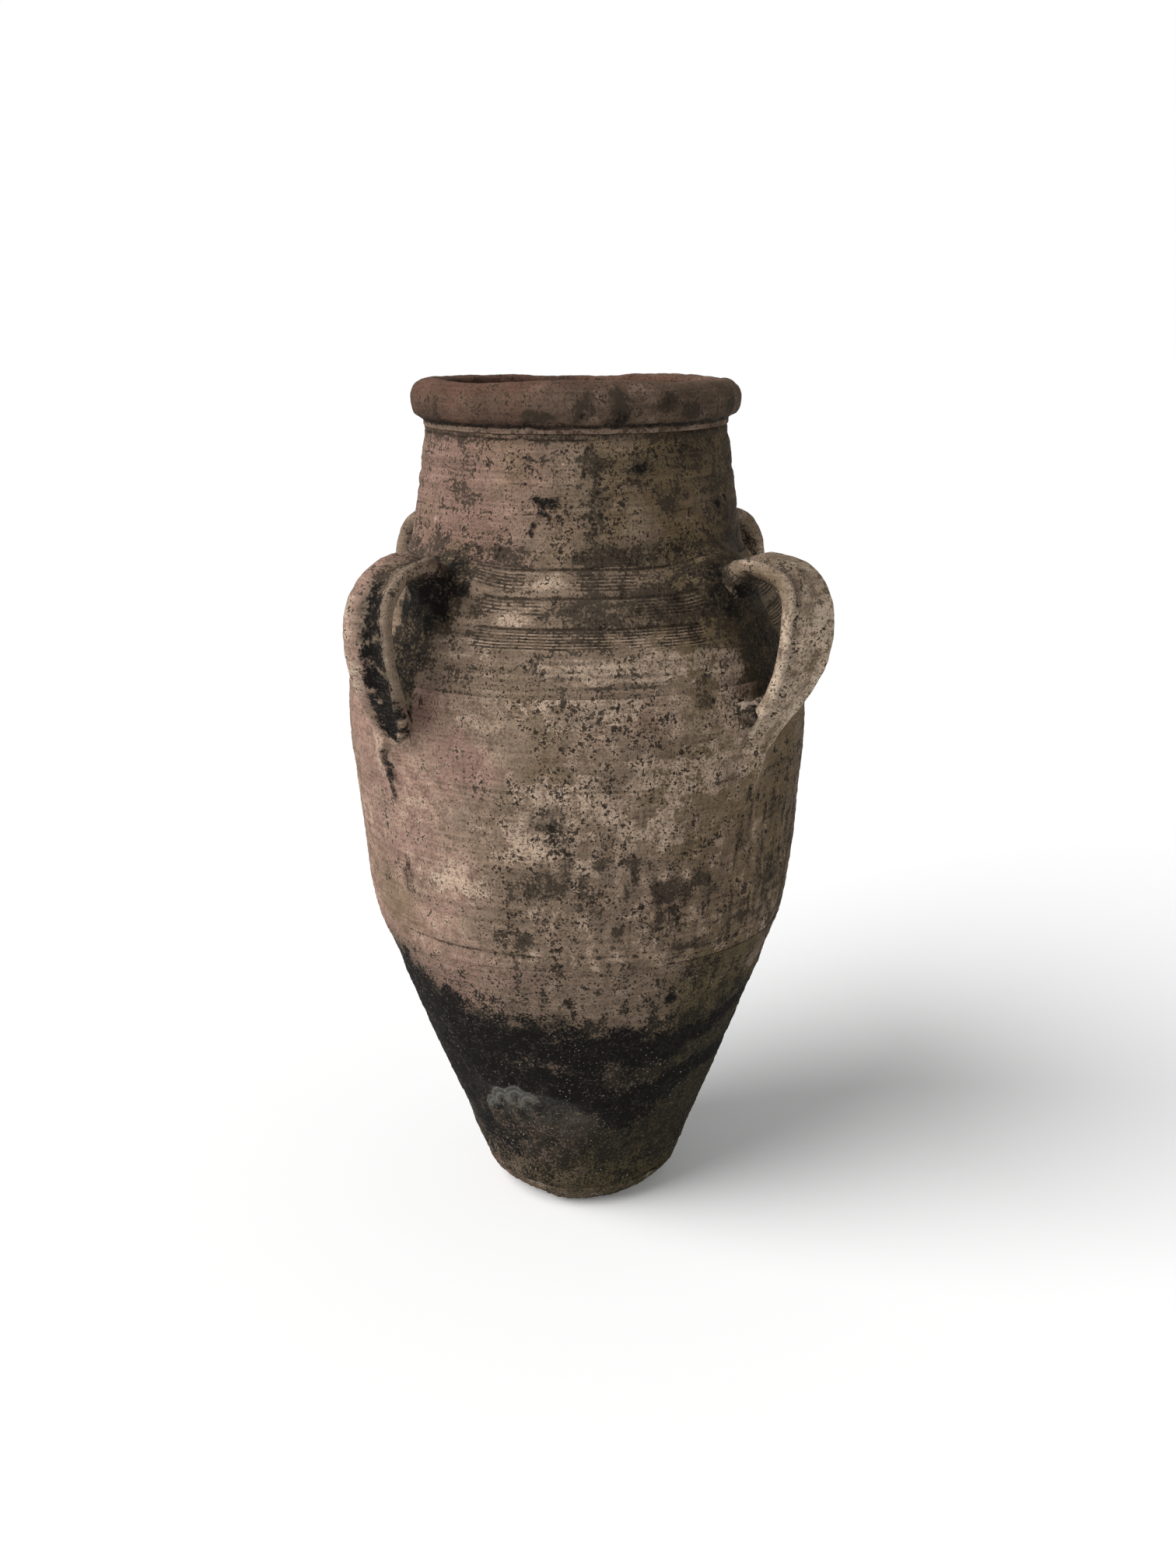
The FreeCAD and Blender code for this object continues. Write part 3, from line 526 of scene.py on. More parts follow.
def tail_tongues(points):
    """Clay smeared down the belly below each handle's tail, 1 where it is thickest."""
    height = points[:, 2] / MM
    half = 6 + 15 * ease(height, 418, 485)
    tongues = [furrow(across_from(points, turn), half) for turn in TAIL_TURNS]
    return np.max(tongues, axis=0) * between(height, 408, 462, 480, 508)


def bare_patches(points, ragged, *places):
    """Patches with clear edges where the grime has flaked off."""
    return ease(stains(points, ragged, *places), 0.15, 0.60)


def handle_hollow_grime_and_shade(points, ragged):
    """How thick grime, smoke and painted shade lie on the wall behind each handle, blackest under the left
    roots: painted shade under each arch and a painted shadow cast by the handle down towards its tail.
    """
    upper = [(turn, 578, 40, 33) for turn in HANDLE_TURNS]
    lower = [(turn + lean, 530, 36, 58) for turn, lean in zip(HANDLE_TURNS, HOLLOW_LEANS)]
    under_root = stains(points, 0.5 * ragged, *upper)
    grime_and_shadow_to_tail = stains(points, 0.4 * ragged, *lower)
    left = from_front(points) < 0
    root_smoke = (0.35 + 0.35 * left) * under_root * ease(points[:, 2] / MM, 548, 578)
    tail_soot_and_shadow = (0.36 + 0.26 * left) * grime_and_shadow_to_tail
    skin = outer_face(points)
    return skin * np.maximum(under_root, grime_and_shadow_to_tail), skin * (root_smoke + tail_soot_and_shadow)


belly_wall = throw_zone("belly_wall", rows=170, inner_rows=14)
belly_wall.data.materials.append(weathered_clay)

points = points_of(belly_wall.data)
turn, height, skin = from_front(points), points[:, 2] / MM, outer_face(points)
ragged = cloud(points, 15, 4, 31)
waver = 2.0 * cloud(points, 120, 2, 32)
unworn = ease(cloud(points, 40, 2, 33), -0.3, 0.4)
rings = unworn * sum(share * furrow(height - level - waver, half) for level, half, share in JOIN_RINGS)
tongues = tail_tongues(points)
relief = hand_worked(points) + 0.25 * cloud(points, 5, 3, 34)
press(belly_wall.data, relief - 0.8 * rings + TONGUE_THICK * tongues)

drips = ease(cloud(points, (6, 6, 120), 3, 35), 0.05, 0.75)
dripping = between(turn, 30, 44, 78, 100) * (1 - ease(height, 395, 440))
streaked = drips * dripping * (0.8 + 0.8 * ragged)
woven = cloud(points, (5, 5, 60), 2, 36) + cloud(points, (60, 60, 5), 2, 37)
knee = (1 - ease(height, 310, 375)) * between(turn, -34, -8, 60, 110)
netted = knee * (0.06 + 0.60 * woven * (0.6 + ragged))
blotchy = front_blotches(points) * (1 - ease(height, 360, 430))
flank = between(-turn, 22, 48, 120, 170) * (1 - ease(height, 400, 470))
# The wall behind the handles is painted dark: partly grime and soot, partly painted shade under the arches
# and the handles' painted cast shadows.
hollow_grime_and_shade, hollow_soot_and_shade = handle_hollow_grime_and_shade(points, ragged)
reddened = stains(points, ragged, (-14, 400, 26, 34), (-24, 455, 40, 26))
flaked = bare_patches(
    points, ragged, (0, 432, 62, 22), (-8, 400, 46, 30), (-54, 445, 8, 22), (26, 446, 60, 26),
    (37, 500, 20, 16), (2, 372, 40, 16), (18, 402, 34, 20), (2, 505, 56, 19), (-30, 352, 40, 16),
    (96, 430, 70, 40), (178, 400, 60, 50), (-120, 380, 60, 40),
)
grimed = stains(
    points, ragged, (-6.5, 412, 20, 25), (-9, 362, 54, 27), (11, 364, 50, 27), (24, 350, 44, 20),
    (1, 502, 34, 14), (31, 508, 9, 15), (-49, 345, 12, 16),
    (112, 380, 40, 26), (168, 460, 50, 24), (-150, 340, 44, 30), (-95, 470, 50, 22),
)
sooted = stains(
    points, ragged, (-48.8, 446, 8, 18), (-50.0, 424, 5, 16), (-48, 356, 6, 8), (44, 425, 4, 16),
    (48, 404, 3, 14),
)
chips = stains(
    points, 0.5 * ragged, (-28, 494, 2, 2), (-9.5, 437, 3, 2.2), (-7.6, 437.5, 2, 1.6), (34, 362, 2, 2),
    (130, 420, 3, 2),
)
coats = weathering(points)
coats["rose"] += skin * (0.35 * flank + 0.4 * reddened) - 0.8 * hollow_grime_and_shade
coats["moss"] += skin * 0.2 * stain(points, ragged, 26, 500, 60, 30) + 0.9 * hollow_grime_and_shade
coats["pale"] += 2 * chips - 0.5 * hollow_grime_and_shade + skin * (
    0.50 * flaked + 0.25 * flank + 0.15 * knee * ease(-woven, -0.2, 0.6) - 0.35 * blotchy + 0.40 * tongues
)
coats["dirt_and_shade"] += 1.1 * hollow_grime_and_shade - chips + skin * (
    0.60 * grimed + 0.32 * blotchy + 0.60 * streaked + netted + 0.8 * rings - 0.30 * tongues
)
coats["specks"] += skin * (0.25 * between(turn, -30, 0, 60, 120) - 0.1 * flank + 0.3 * knee) - 2 * chips
coats["soot_and_shade"] = hollow_soot_and_shade + skin * 0.8 * sooted
paint(belly_wall, coats)


# Shoulder wall: the third zone, closed in by hand, with three bands combed into it as it turned.
# The comb was lifted at each handle's place, and later wear has rubbed parts of the bands away.
# Earthenware, grey with grime where rain stands against the handles, and painted with shade behind them.
DEEP_LINES = [(607.0, -36, 36), (586.5, -31, 34), (564.6, -31, 31)]
COMBED = [
    (603.6, 594.0, 5, (-34, -18)), (602.6, 592.6, 5, (-4, 15)), (602.6, 594.0, 4, (30, 37)),
    (583.5, 575.5, 4, (-31, -12)), (583.5, 574.0, 5, (12, 34)), (562.0, 550.5, 6, (-31, 31)),
]
PANELS = [(3.3, 1), (93.8, -1), (179.3, 1), (268.8, -1)]
LINE_DEPTH = 1.7
LINE_HALF = 1.05
COMB_DEPTH = 1.25
COMB_HALF = 0.72
MOUND_THICK = 13


def combed_bands(points):
    """The depth of the comb's furrows between the handles, in mm, and where its teeth left ridges."""
    height = points[:, 2] / MM + 0.7 * cloud(points, 70, 2, 41)
    rubbed = 1 - 0.45 * ease(cloud(points, 22, 3, 42), 0.15, 0.6)
    depth, teeth = np.zeros(len(points)), np.zeros(len(points))
    for middle, way in PANELS:
        across = way * ((from_front(points) - middle + 180) % 360 - 180)
        for level, start, stop in DEEP_LINES:
            span = between(across, start, start + 2, stop - 2, stop)
            depth += LINE_DEPTH * span * furrow(height - level, LINE_HALF)
        for top, low, count, (start, stop) in COMBED:
            span = between(across, start, start + 1.5, stop - 1.5, stop)
            teeth += span * between(height, low - 2, low, top, top + 2)
            for level in np.linspace(top, low, count):
                depth += COMB_DEPTH * rubbed * span * furrow(height - level, COMB_HALF)
    return depth, teeth * (1 - ease(depth, 0.15, 0.75))


def root_mounds(points):
    """Clay smeared up round each handle's root, 1 at its middle."""
    return stains(points, 0, *[(turn, 592, 54, 36) for turn in HANDLE_TURNS])


shoulder_wall = throw_zone("shoulder_wall", rows=188, inner_rows=8)
shoulder_wall.data.materials.append(weathered_clay)

points = points_of(shoulder_wall.data)
turn, skin = from_front(points), outer_face(points)
ragged = cloud(points, 15, 4, 31)
combs, teeth = combed_bands(points)
combs *= skin
mounds = root_mounds(points)
relief = hand_worked(points) + 0.2 * cloud(points, 5, 3, 34)
press(shoulder_wall.data, relief + MOUND_THICK * mounds - combs * (1 - mounds))

beside_roots = stains(points, ragged, *[(at, 588, 52, 34) for at in HANDLE_TURNS])
# The wall behind the handles is painted dark: partly grime and soot, partly painted shade under the arches
# and the handles' painted cast shadows.
hollow_grime_and_shade, hollow_soot_and_shade = handle_hollow_grime_and_shade(points, ragged)
streaks = cloud(points, (70, 70, 4), 3, 43)
grimed = stains(
    points, ragged, (6, 572, 60, 16), (24, 578, 40, 20), (4, 600, 20, 14), (31, 524, 7, 9),
    (1, 514, 44, 12),
)
flaked = bare_patches(
    points, ragged, (-16, 571, 15, 7), (-7, 597, 19, 8), (8, 534, 66, 13), (27, 536, 40, 14),
    (37, 528, 22, 20), (-30, 548, 30, 9), (100, 540, 60, 18), (186, 550, 50, 16), (-88, 560, 40, 12),
)
sooted = 0.6 * stain(points, ragged, -42, 589, 34, 26) + 0.3 * stain(points, ragged, 40, 585, 30, 22)
coats = weathering(points)
coats["dirt_and_shade"] += skin * (
    0.20 + 0.10 * ease(-turn, 5, 35) + 0.25 * streaks + 0.40 * beside_roots + hollow_grime_and_shade
    + 1.1 * ease(combs, 0.40, 1.3) - 0.15 * teeth + 0.45 * grimed
)
coats["pale"] += skin * (0.40 * teeth + 0.55 * flaked)
coats["moss"] += skin * (0.25 * ease(turn, 0, 40) + 0.2 * beside_roots) + 0.7 * hollow_grime_and_shade
coats["rose"] -= 0.25 * skin + 0.5 * hollow_grime_and_shade
coats["soot_and_shade"] = hollow_soot_and_shade + skin * sooted
paint(shoulder_wall, coats)


# Neck wall: the tapering neck, thrown from a thick coil set on the shoulder's edge.
# Earthenware, ringed by the potter's fingers, with a crack where the rim's coil pulled away as it dried.
# Rain has run down it in a grey stain, and black lichen sits on it in spots.
CRACK_HEIGHT = 708.5
FINGER_LINES = [(692.5, 0.8), (673, 0.8), (650, 0.9)]

neck_wall = throw_zone("neck_wall", rows=140, inner_rows=16)
neck_wall.data.materials.append(weathered_clay)

points = points_of(neck_wall.data)
turn, height, skin = from_front(points), points[:, 2] / MM, outer_face(points)
ragged = cloud(points, 11, 4, 51)
finger_rings = cloud(points, (260, 260, 9), 3, 52)
crack_height = CRACK_HEIGHT + 1.2 * cloud(points, 14, 3, 53)
cracked = between(turn, -95, -80, 0, 10) + 0.6 * between(turn, 100, 120, 150, 165)
crack = cracked * furrow(height - crack_height, 0.8)
flap = cracked * ease(height, crack_height, crack_height + 1.5)
lines = sum(furrow(height - level - 1.5 * ragged, half) for level, half in FINGER_LINES)
lines *= ease(cloud(points, 30, 2, 54), 0.0, 0.5)
relief = hand_worked(points) + 0.5 * finger_rings + 0.2 * cloud(points, 5, 3, 34)
press(neck_wall.data, relief - 1.6 * crack - 0.6 * lines + 0.8 * flap + MOUND_THICK * root_mounds(points))

rain_stain = stains(
    points, ragged, (6, 686, 15, 18), (6, 655, 13, 40), (7, 620, 16, 22), (22, 683, 16, 11),
    (44, 683, 14, 3), (54, 664, 16, 3), (59, 651, 11, 5), (33, 660, 20, 12), (70, 640, 20, 12),
    (120, 660, 30, 40), (-150, 640, 26, 40), (-100, 690, 26, 8),
)
black_spots = stains(
    points, ragged, (-11, 661, 14, 7), (-12, 650, 7, 4), (-14, 642, 4, 4), (-15, 634, 4, 5),
    (22, 685, 9, 5), (58, 651, 6, 3), (64, 655, 6, 4), (160, 670, 14, 8),
)
at_shoulder = (0.36 + 0.35 * ragged) * (1 - ease(height, 612, 638))
coats = weathering(points)
coats["rose"] += skin * 0.35 * between(-turn, -8, 30, 120, 160)
# The crack's line is painted dark as well: painted shade in the crack.
coats["dirt_and_shade"] += skin * (
    0.10 + 0.20 * ease(-turn, 5, 40) + 0.25 * between(turn, 25, 60, 110, 150) + 0.15 * finger_rings
    + 0.9 * crack + 0.7 * lines + at_shoulder + 0.35 * ease(height, 700, 711) + 0.62 * rain_stain
)
coats["soot_and_shade"] = skin * 0.95 * black_spots
coats["pale"] += skin * 0.8 * stains(points, 0, (-4.5, 690, 1.8, 1.8), (-57, 640, 4, 5))
coats["specks"] += skin * (0.50 * (1 - ease(height, 620, 665)) - 0.02)
coats["moss"] += 0.22 * skin
paint(neck_wall, coats)


# Rim roll: a thick coil folded over the neck's edge and rounded with a wet cloth.
# Redder clay than the body, because hands and ropes have kept it bare of grime on top.
# It was left a little uneven, and drips of rain have marked its face.
RIM_CREASE = 717.5
NECK_TOP = 131.6 * MM
HEART_IN = 13 * MM
HEART_UP = 19 * MM
rim_low, rim_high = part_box("rim_roll")
rim_heart = Vector((rim_high.x - HEART_IN, beside, rim_low.z + HEART_UP))
rim_skin = node_skin(["rim_roll"])
rim_clay = clay_finish(
    "rim_clay", clay=fired(96, 79, 67), rose=fired(102, 75, 63), pale=fired(132, 112, 97),
    moss=fired(88, 74, 57), dirt_and_shade=fired(52, 45, 37), grit=0.15,
)


def swell(mesh, offset):
    """Moves each point by these mm along its own normal."""
    normals = np.empty(len(mesh.vertices) * 3, np.float32)
    mesh.vertex_normals.foreach_get("vector", normals)
    put_points(mesh, points_of(mesh) + normals.reshape(-1, 3) * offset[:, None] * MM)


bm = bmesh.new()
coil = bmesh.ops.create_circle(bm, cap_ends=False, radius=1, segments=84)["verts"]
for vert in coil:
    way = Vector((vert.co.x, 0, vert.co.y))
    vert.co = rim_skin.ray_cast(rim_heart, way)[0]
    vert.co.y = 0
turn_on_wheel(bm)
rim_roll = finish_piece("clay_rim_roll", bm, "rim_roll")
rim_roll.data.materials.append(rim_clay)

points = points_of(rim_roll.data)
turn, height = from_front(points), points[:, 2] / MM
around = np.radians(turn)
ragged = cloud(points, 11, 4, 61)
wavy = height + 0.8 * ragged
face = ease(np.hypot(points[:, 0], points[:, 1]), rim_heart.x - 4 * MM, rim_heart.x + 4 * MM)
lumps = 0.8 * cloud(points, 40, 2, 62) + 0.35 * cloud(points, 9, 3, 63)
swell(rim_roll.data, ease(height, RIM_CREASE, RIM_CREASE + 8) * lumps)
shaped = points_of(rim_roll.data)
radius = np.hypot(shaped[:, 0], shaped[:, 1])
rolled = ease(wavy, RIM_CREASE - 0.5, RIM_CREASE + 5.5)
tucked_in = np.where(radius > NECK_TOP, NECK_TOP + (radius - NECK_TOP) * rolled, radius)
shaped[:, :2] *= (tucked_in / radius)[:, None]
sag = (
    2.6 * np.cos(around) + 1.1 * np.cos(around + 1.0)
    + 0.9 * np.cos(3 * around - 0.6) + 0.6 * np.cos(5 * around)
)
shaped[:, 2] += MM * sag * ease(height, 722, 748)
put_points(rim_roll.data, shaped)

left = between(-turn, 0, 40, 120, 165)
right = between(turn, -10, 40, 120, 170)
top = ease(height, 738, 748)
neck_side = face * (1 - ease(wavy, RIM_CREASE - 2, RIM_CREASE))
# A dark line painted along the crease under the roll: painted shade in the crease.
crease_shade = face * furrow(wavy - RIM_CREASE - 1, 1.6)
grubby = 0.12 * ease(-turn, 10, 50) + 0.25 * cloud(points, 30, 4, 65)
drips = stains(
    points, ragged, (1.6, 731, 11, 13), (13.7, 730, 10, 14), (30.6, 735, 12, 7), (-12, 727, 14, 6),
    (42, 728, 12, 7), (64, 732, 12, 10), (105, 735, 20, 9), (170, 730, 26, 10), (-140, 732, 20, 9),
)
sooted = stains(points, ragged, (14, 726, 7, 6), (2, 727, 6, 4), (30, 736, 5, 3))
coats = {
    "rose": 0.30 + 0.35 * left + 0.5 * (1 - face) + 0.35 * top - 0.25 * right * face,
    "moss": face * (0.15 + 0.40 * right),
    "pale": 0.15 + 0.15 * right + 0.3 * cloud(points, 30, 3, 64) + 1.2 * neck_side * (1 - 0.7 * right),
    "dirt_and_shade": 0.30 + grubby - 0.4 * neck_side + crease_shade + 0.75 * face * drips,
    "specks": 0.35 + 0.25 * cloud(points, 40, 3, 66),
    "soot_and_shade": 0.6 * crease_shade + 0.5 * face * sooted,
}
paint(rim_roll, coats)


# Strap handles: four straps of clay, each pulled from a lump with a wet hand, thumb down the back.
# The thick root is luted to the shoulder below the neck, and the tail is smeared down on to the belly.
# Each was bent over by eye, so no two are quite the same.
STRAP_HALF = 11 * MM
STRAP_SIDE = 24 * MM
CROWN_ROUND = 45 * MM
BACK_ROUND = 125 * MM
TAIL_ROUND = 260 * MM
ROOT_RUN = 48 * MM
ROOT_SLOPE = math.radians(30)
BACK_SWEEP = math.radians(35)
TAIL_SWEEP = math.radians(21)
ROOT_STEPS = 18
CROWN_STEPS = 56
BACK_STEPS = 40
TAIL_STEPS = 48
BURIED = 7 * MM
ROOT_DROOP = 34 * MM
TAIL_SMEAR = 11 * MM
CHANNEL_FILL = 11
JOINT_SWELL = 5
WIDENED = {"front_right": 1.06, "back_right": 1.02, "back_left": 0.98, "front_left": 0.92}
TAPER = {"front_right": 0.45, "back_right": 0.40, "back_left": 0.40, "front_left": 0.82}
TAIL_LEAN = {"front_right": -13, "back_right": -4, "back_left": 5, "front_left": -30}
SWAY = {"front_right": -6, "back_right": 2, "back_left": -3, "front_left": 7}
TWIST = {"front_right": -18, "back_right": 6, "back_left": -5, "front_left": 15}
CROWN_DROP = {"front_right": 6, "back_right": 2, "back_left": 0, "front_left": 0}
CROWN_PUSH = {"front_right": 7, "back_right": 2, "back_left": 0, "front_left": 0}
SMEARED_SIDE = {"front_right": 1, "back_right": -1, "back_left": 1, "front_left": -1}
THUMBED_AT = {"front_right": -0.56, "back_right": 0.10, "back_left": -0.10, "front_left": 0.26}
THUMBED_WIDE = {"front_right": 0.17, "back_right": 0.32, "back_left": 0.30, "front_left": 0.46}
THUMBED_DEEP = {"front_right": 4.2, "back_right": 4.0, "back_left": 4.0, "front_left": 4.8}
handle_clay = clay_finish(
    "handle_clay", clay=fired(146, 127, 109), rose=fired(160, 131, 117), pale=fired(192, 172, 151),
    moss=fired(126, 109, 84), dirt_and_shade=fired(60, 52, 43), grit=0.12,
)

strap_skin = node_skin(["handle_front_left"])
strap_low, strap_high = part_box("handle_front_left")
outermost = -strap_low.y
crown = Vector((outermost - STRAP_HALF - CROWN_ROUND, 0, strap_high.z - STRAP_HALF - CROWN_ROUND))
crown_top = crown + Vector((0, 0, CROWN_ROUND))
back = crown - Vector((BACK_ROUND - CROWN_ROUND, 0, 0))
back_end = back + Matrix.Rotation(BACK_SWEEP, 3, "Y") @ Vector((BACK_ROUND, 0, 0))
tail = back_end + Matrix.Rotation(BACK_SWEEP, 3, "Y") @ Vector((TAIL_ROUND, 0, 0))


def pull_strap():
    """One strap along the x axis, swept from its root over the crown and down to its tail."""
    bm = bmesh.new()
    thumb = bm.verts.layers.float.new("thumb")
    side = bm.verts.layers.float.new("side")
    to_node = Matrix.Rotation(math.radians(HEADINGS["front_left"]), 3, "Z")
    ring = bmesh.ops.create_circle(bm, cap_ends=False, radius=1, segments=72)["verts"]
    for vert in ring:
        way = Vector((0, vert.co.x, vert.co.y))
        vert.co = to_node.transposed() @ strap_skin.ray_cast(to_node @ crown_top, to_node @ way)[0]
        vert[thumb] = (vert.co.z - crown_top.z) / STRAP_HALF
        vert[side] = vert.co.y / STRAP_SIDE
    bmesh.ops.rotate(bm, verts=ring, cent=crown, matrix=Matrix.Rotation(-ROOT_SLOPE, 3, "Y"))
    along = Matrix.Rotation(-ROOT_SLOPE, 3, "Y") @ Vector((ROOT_RUN, 0, 0))
    bmesh.ops.translate(bm, verts=ring, vec=-along)
    end = bm.verts[:] + bm.edges[:]
    moves = [
        (crown, 0, along / ROOT_STEPS, ROOT_STEPS),
        (crown, math.pi / 2 + ROOT_SLOPE, Vector(), CROWN_STEPS),
        (back, BACK_SWEEP, Vector(), BACK_STEPS),
        (tail, -TAIL_SWEEP, Vector(), TAIL_STEPS),
    ]
    for centre, angle, step, steps in moves:
        swept = bmesh.ops.spin(
            bm, geom=end, cent=centre, axis=(0, 1, 0), dvec=step, angle=angle, steps=steps,
        )
        end = swept["geom_last"]
    bmesh.ops.holes_fill(bm, edges=[e for e in bm.edges if e.is_boundary], sides=0)
    bmesh.ops.recalc_face_normals(bm, faces=bm.faces)
    return bm


def layer_of(mesh, name):
    values = np.empty(len(mesh.vertices), np.float32)
    mesh.attributes[name].data.foreach_get("value", values)
    return values


def off_the_wall(points):
    """How far points stand off the jar's outer face, in mm."""
    slope = np.interp(points[:, 2], levels, slopes)
    level_gap = np.hypot(points[:, 0], points[:, 1]) - jar_radius(points[:, 2])
    return level_gap / np.sqrt(1 + slope ** 2) / MM


def keep_in_wall(points):
    """Brings back what would show inside the jar to just under the wall's outer face."""
    radius = np.hypot(points[:, 0], points[:, 1])
    least = jar_radius(points[:, 2]) - BURIED
    points[:, :2] *= np.maximum(1, least / np.maximum(radius, MM))[:, None]
    return points


def strap_middle(z):
    """How far out the middle of a strap's back and tail is at a height."""
    on_back = back.x + np.sqrt(np.maximum(BACK_ROUND ** 2 - (z - back.z) ** 2, 0))
    on_tail = tail.x - np.sqrt(np.maximum(TAIL_ROUND ** 2 - (z - tail.z) ** 2, 0))
    return np.where(z > back_end.z, on_back, on_tail)


def bend_by_eye(points, thumb, side, name):
    """Gives one strap its own width, lean and twist, a thickened root and a tail smeared into the wall."""
    height, out = points[:, 2] / MM, points[:, 0] / MM
    upper_half = ease(height, 545, 572)
    root = upper_half * (1 - ease(out, 164, 210))
    points[:, 1] *= WIDENED[name] * (1 - 0.30 * root) * (1 - TAPER[name] * ease(-height, -500, -440))
    droop = np.clip((202 - out) / 36, 0, 1.2) ** 1.6 * upper_half
    points[:, 2] -= ROOT_DROOP * droop * (1 - thumb) / 2
    smear_from = 506 + 29 * ease(SMEARED_SIDE[name] * side, -0.35, 0.5)
    points[:, 0] -= TAIL_SMEAR * ease(smear_from - height, 0, 48)
    angle = math.radians(TWIST[name]) * between(height, 430, 490, 560, 612)
    middle = strap_middle(points[:, 2])
    x, y = points[:, 0] - middle, points[:, 1].copy()
    points[:, 0] = middle + x * np.cos(angle) - y * np.sin(angle)
    points[:, 1] = x * np.sin(angle) + y * np.cos(angle)
    points[:, 1] += MM * SWAY[name] * ease(height, 440, 540) * ease(points[:, 0] / MM, 165, 215)
    points[:, 1] += MM * TAIL_LEAN[name] * ease(-height, -530, -430)
    points[:, 2] -= MM * CROWN_DROP[name] * ease(height, 560, 630)
    pushed_out = ease(height, 588, 618) * ease(out, 190, 225)
    drawn_in = 0.55 * between(height, 480, 525, 565, 598)
    points[:, 0] += MM * CROWN_PUSH[name] * (pushed_out - drawn_in)
    return points


strap_form = pull_strap()
for seed, (name, heading) in enumerate(HEADINGS.items()):
    strap = finish_piece(f"clay_handle_{name}", strap_form.copy(), f"handle_{name}")
    strap.data.materials.append(handle_clay)
    thumb, side = layer_of(strap.data, "thumb"), layer_of(strap.data, "side")
    points = bend_by_eye(points_of(strap.data), thumb, side, name)
    height = points[:, 2] / MM
    put_points(strap.data, points)
    ragged = cloud(points, 9, 4, 79 + seed)
    backside = ease(thumb, 0.1, 0.4)
    filled = CHANNEL_FILL * (1 - thumb) * backside * (1 - ease(np.abs(side), 0.45, 0.72))
    thumbed = backside * furrow(side - THUMBED_AT[name], THUMBED_WIDE[name])
    channel = backside * furrow(side - THUMBED_AT[name] + 0.08 * ragged, 1.1 * THUMBED_WIDE[name])
    root = ease(height, 545, 580) * (1 - ease(points[:, 0] / MM, 172, 208))
    off = np.maximum(off_the_wall(points), 0)
    joint = 0.5 * root * np.exp(-off / 13) + 0.5 * (1 - root) * np.exp(-off / 7)
    smeared = ease(-height, -492, -445)
    lumps = 0.7 * cloud(points, 30, 2, 71 + seed) + 0.3 * cloud(points, 7, 3, 75 + seed)
    pressed = THUMBED_DEEP[name] * thumbed * (1 - smeared)
    swell(strap.data, JOINT_SWELL * joint + filled - pressed + lumps)
    points = keep_in_wall(points_of(strap.data))
    put_points(strap.data, points)

    on_left = "left" in name
    grubby = cloud(points, 26, 3, 83 + seed)
    at_wall = root * (1 - ease(off + 6 * ragged, 12, 36))
    # The strap's underside is painted darker with grime and soot: painted shade under the strap.
    under = ease(-thumb, 0.0, 0.6)
    underside_middle_shade = under * (1 - ease(np.abs(side), 0.6, 1.0))
    # The strap's outer face is painted paler: partly rubbed wear, partly a painted highlight.
    ridge_wear_and_highlight = ease(thumb, 0.55, 0.9)
    crown_side = ease(height, 575, 605)
    reddened = 0.65 * ease(-side, -0.2, 0.6) if on_left else 0.0
    mossy = 0.25 if on_left else 0.40 + 0.4 * ease(side, 0.1, 0.7)
    covered_and_shaded = 0.5 * under + 0.25 * crown_side + 0.4 * smeared + 0.6 * at_wall
    sheltered_and_shaded = 0.70 * under + 0.45 * channel + 0.25 * root + 0.5 * at_wall
    smoked = 0.25 * channel * (1 - crown_side)
    if name == "front_left":
        burnt = channel * ease(height + 14 * ragged, 450, 472) * (1 - ease(height + 12 * ragged, 585, 612))
        burnt *= 1 + 0.5 * ragged
        burnt_tail = backside * between(height, 466, 480, 500, 522) * ease(side, -0.75, -0.35)
        burnt_tail *= 0.7 + 0.9 * ragged
        burnt_root = root * ease(0.5 - thumb + 0.4 * ragged, 0, 0.6)
        smoked = 1.4 * burnt + 0.7 * burnt_tail + 0.95 * burnt_root
    coats = {
        "rose": 0.15 + 0.3 * grubby + reddened,
        "moss": mossy - 0.2 * ridge_wear_and_highlight + 0.5 * smeared,
        "pale": (-0.04 if on_left else 0.45) + 0.40 * ridge_wear_and_highlight + 0.30 * grubby - covered_and_shaded,
        "dirt_and_shade": 0.05 + 0.22 * ragged + 0.30 * crown_side + 0.3 * smeared + sheltered_and_shaded,
        "specks": 0.60 + 0.2 * grubby + 0.3 * at_wall,
        "soot_and_shade": smoked + (0.20 if on_left else 0.42) * at_wall * (1 + ragged) + 0.45 * underside_middle_shade,
    }
    paint(strap, coats)
    strap.data.transform(Matrix.Rotation(math.radians(heading), 4, "Z"))
strap_form.free()


# Wads: rolls of soft clay thumbed into the corners under each handle's root and above its tail.
# The same clay as the handles, pressed on wet to strengthen the joint, and left lumpy.
# The front right one has torn along its edge and shows paler clay there.
WAD_VOXEL = 1.8 * MM
WAD_SMOOTHING = 24
WAD_DROP = 10 * MM
WAD_SPREAD = {("upper", "front_right"): 0.75, ("lower", "front_left"): 0.5}
WAD_SHIFT = {("lower", "front_left"): -8, ("lower", "front_right"): -15}
WAD_SWELL = {("lower", "front_left"): -1.0}
# The upper wads, under the roots, are painted darker than the lower ones: grime and soot, and painted shade
# under the roots.
WAD_GRIME_AND_SHADE = {"upper": 0.7, "lower": 0.35}
WAD_SOOT_AND_SHADE = {"upper": 0.55, "lower": 0.15}
wad_clay = clay_finish(
    "wad_clay", clay=fired(120, 103, 88), rose=fired(140, 114, 100), pale=fired(182, 164, 146),
    moss=fired(100, 86, 65), dirt_and_shade=fired(54, 47, 39), grit=0.12,
)


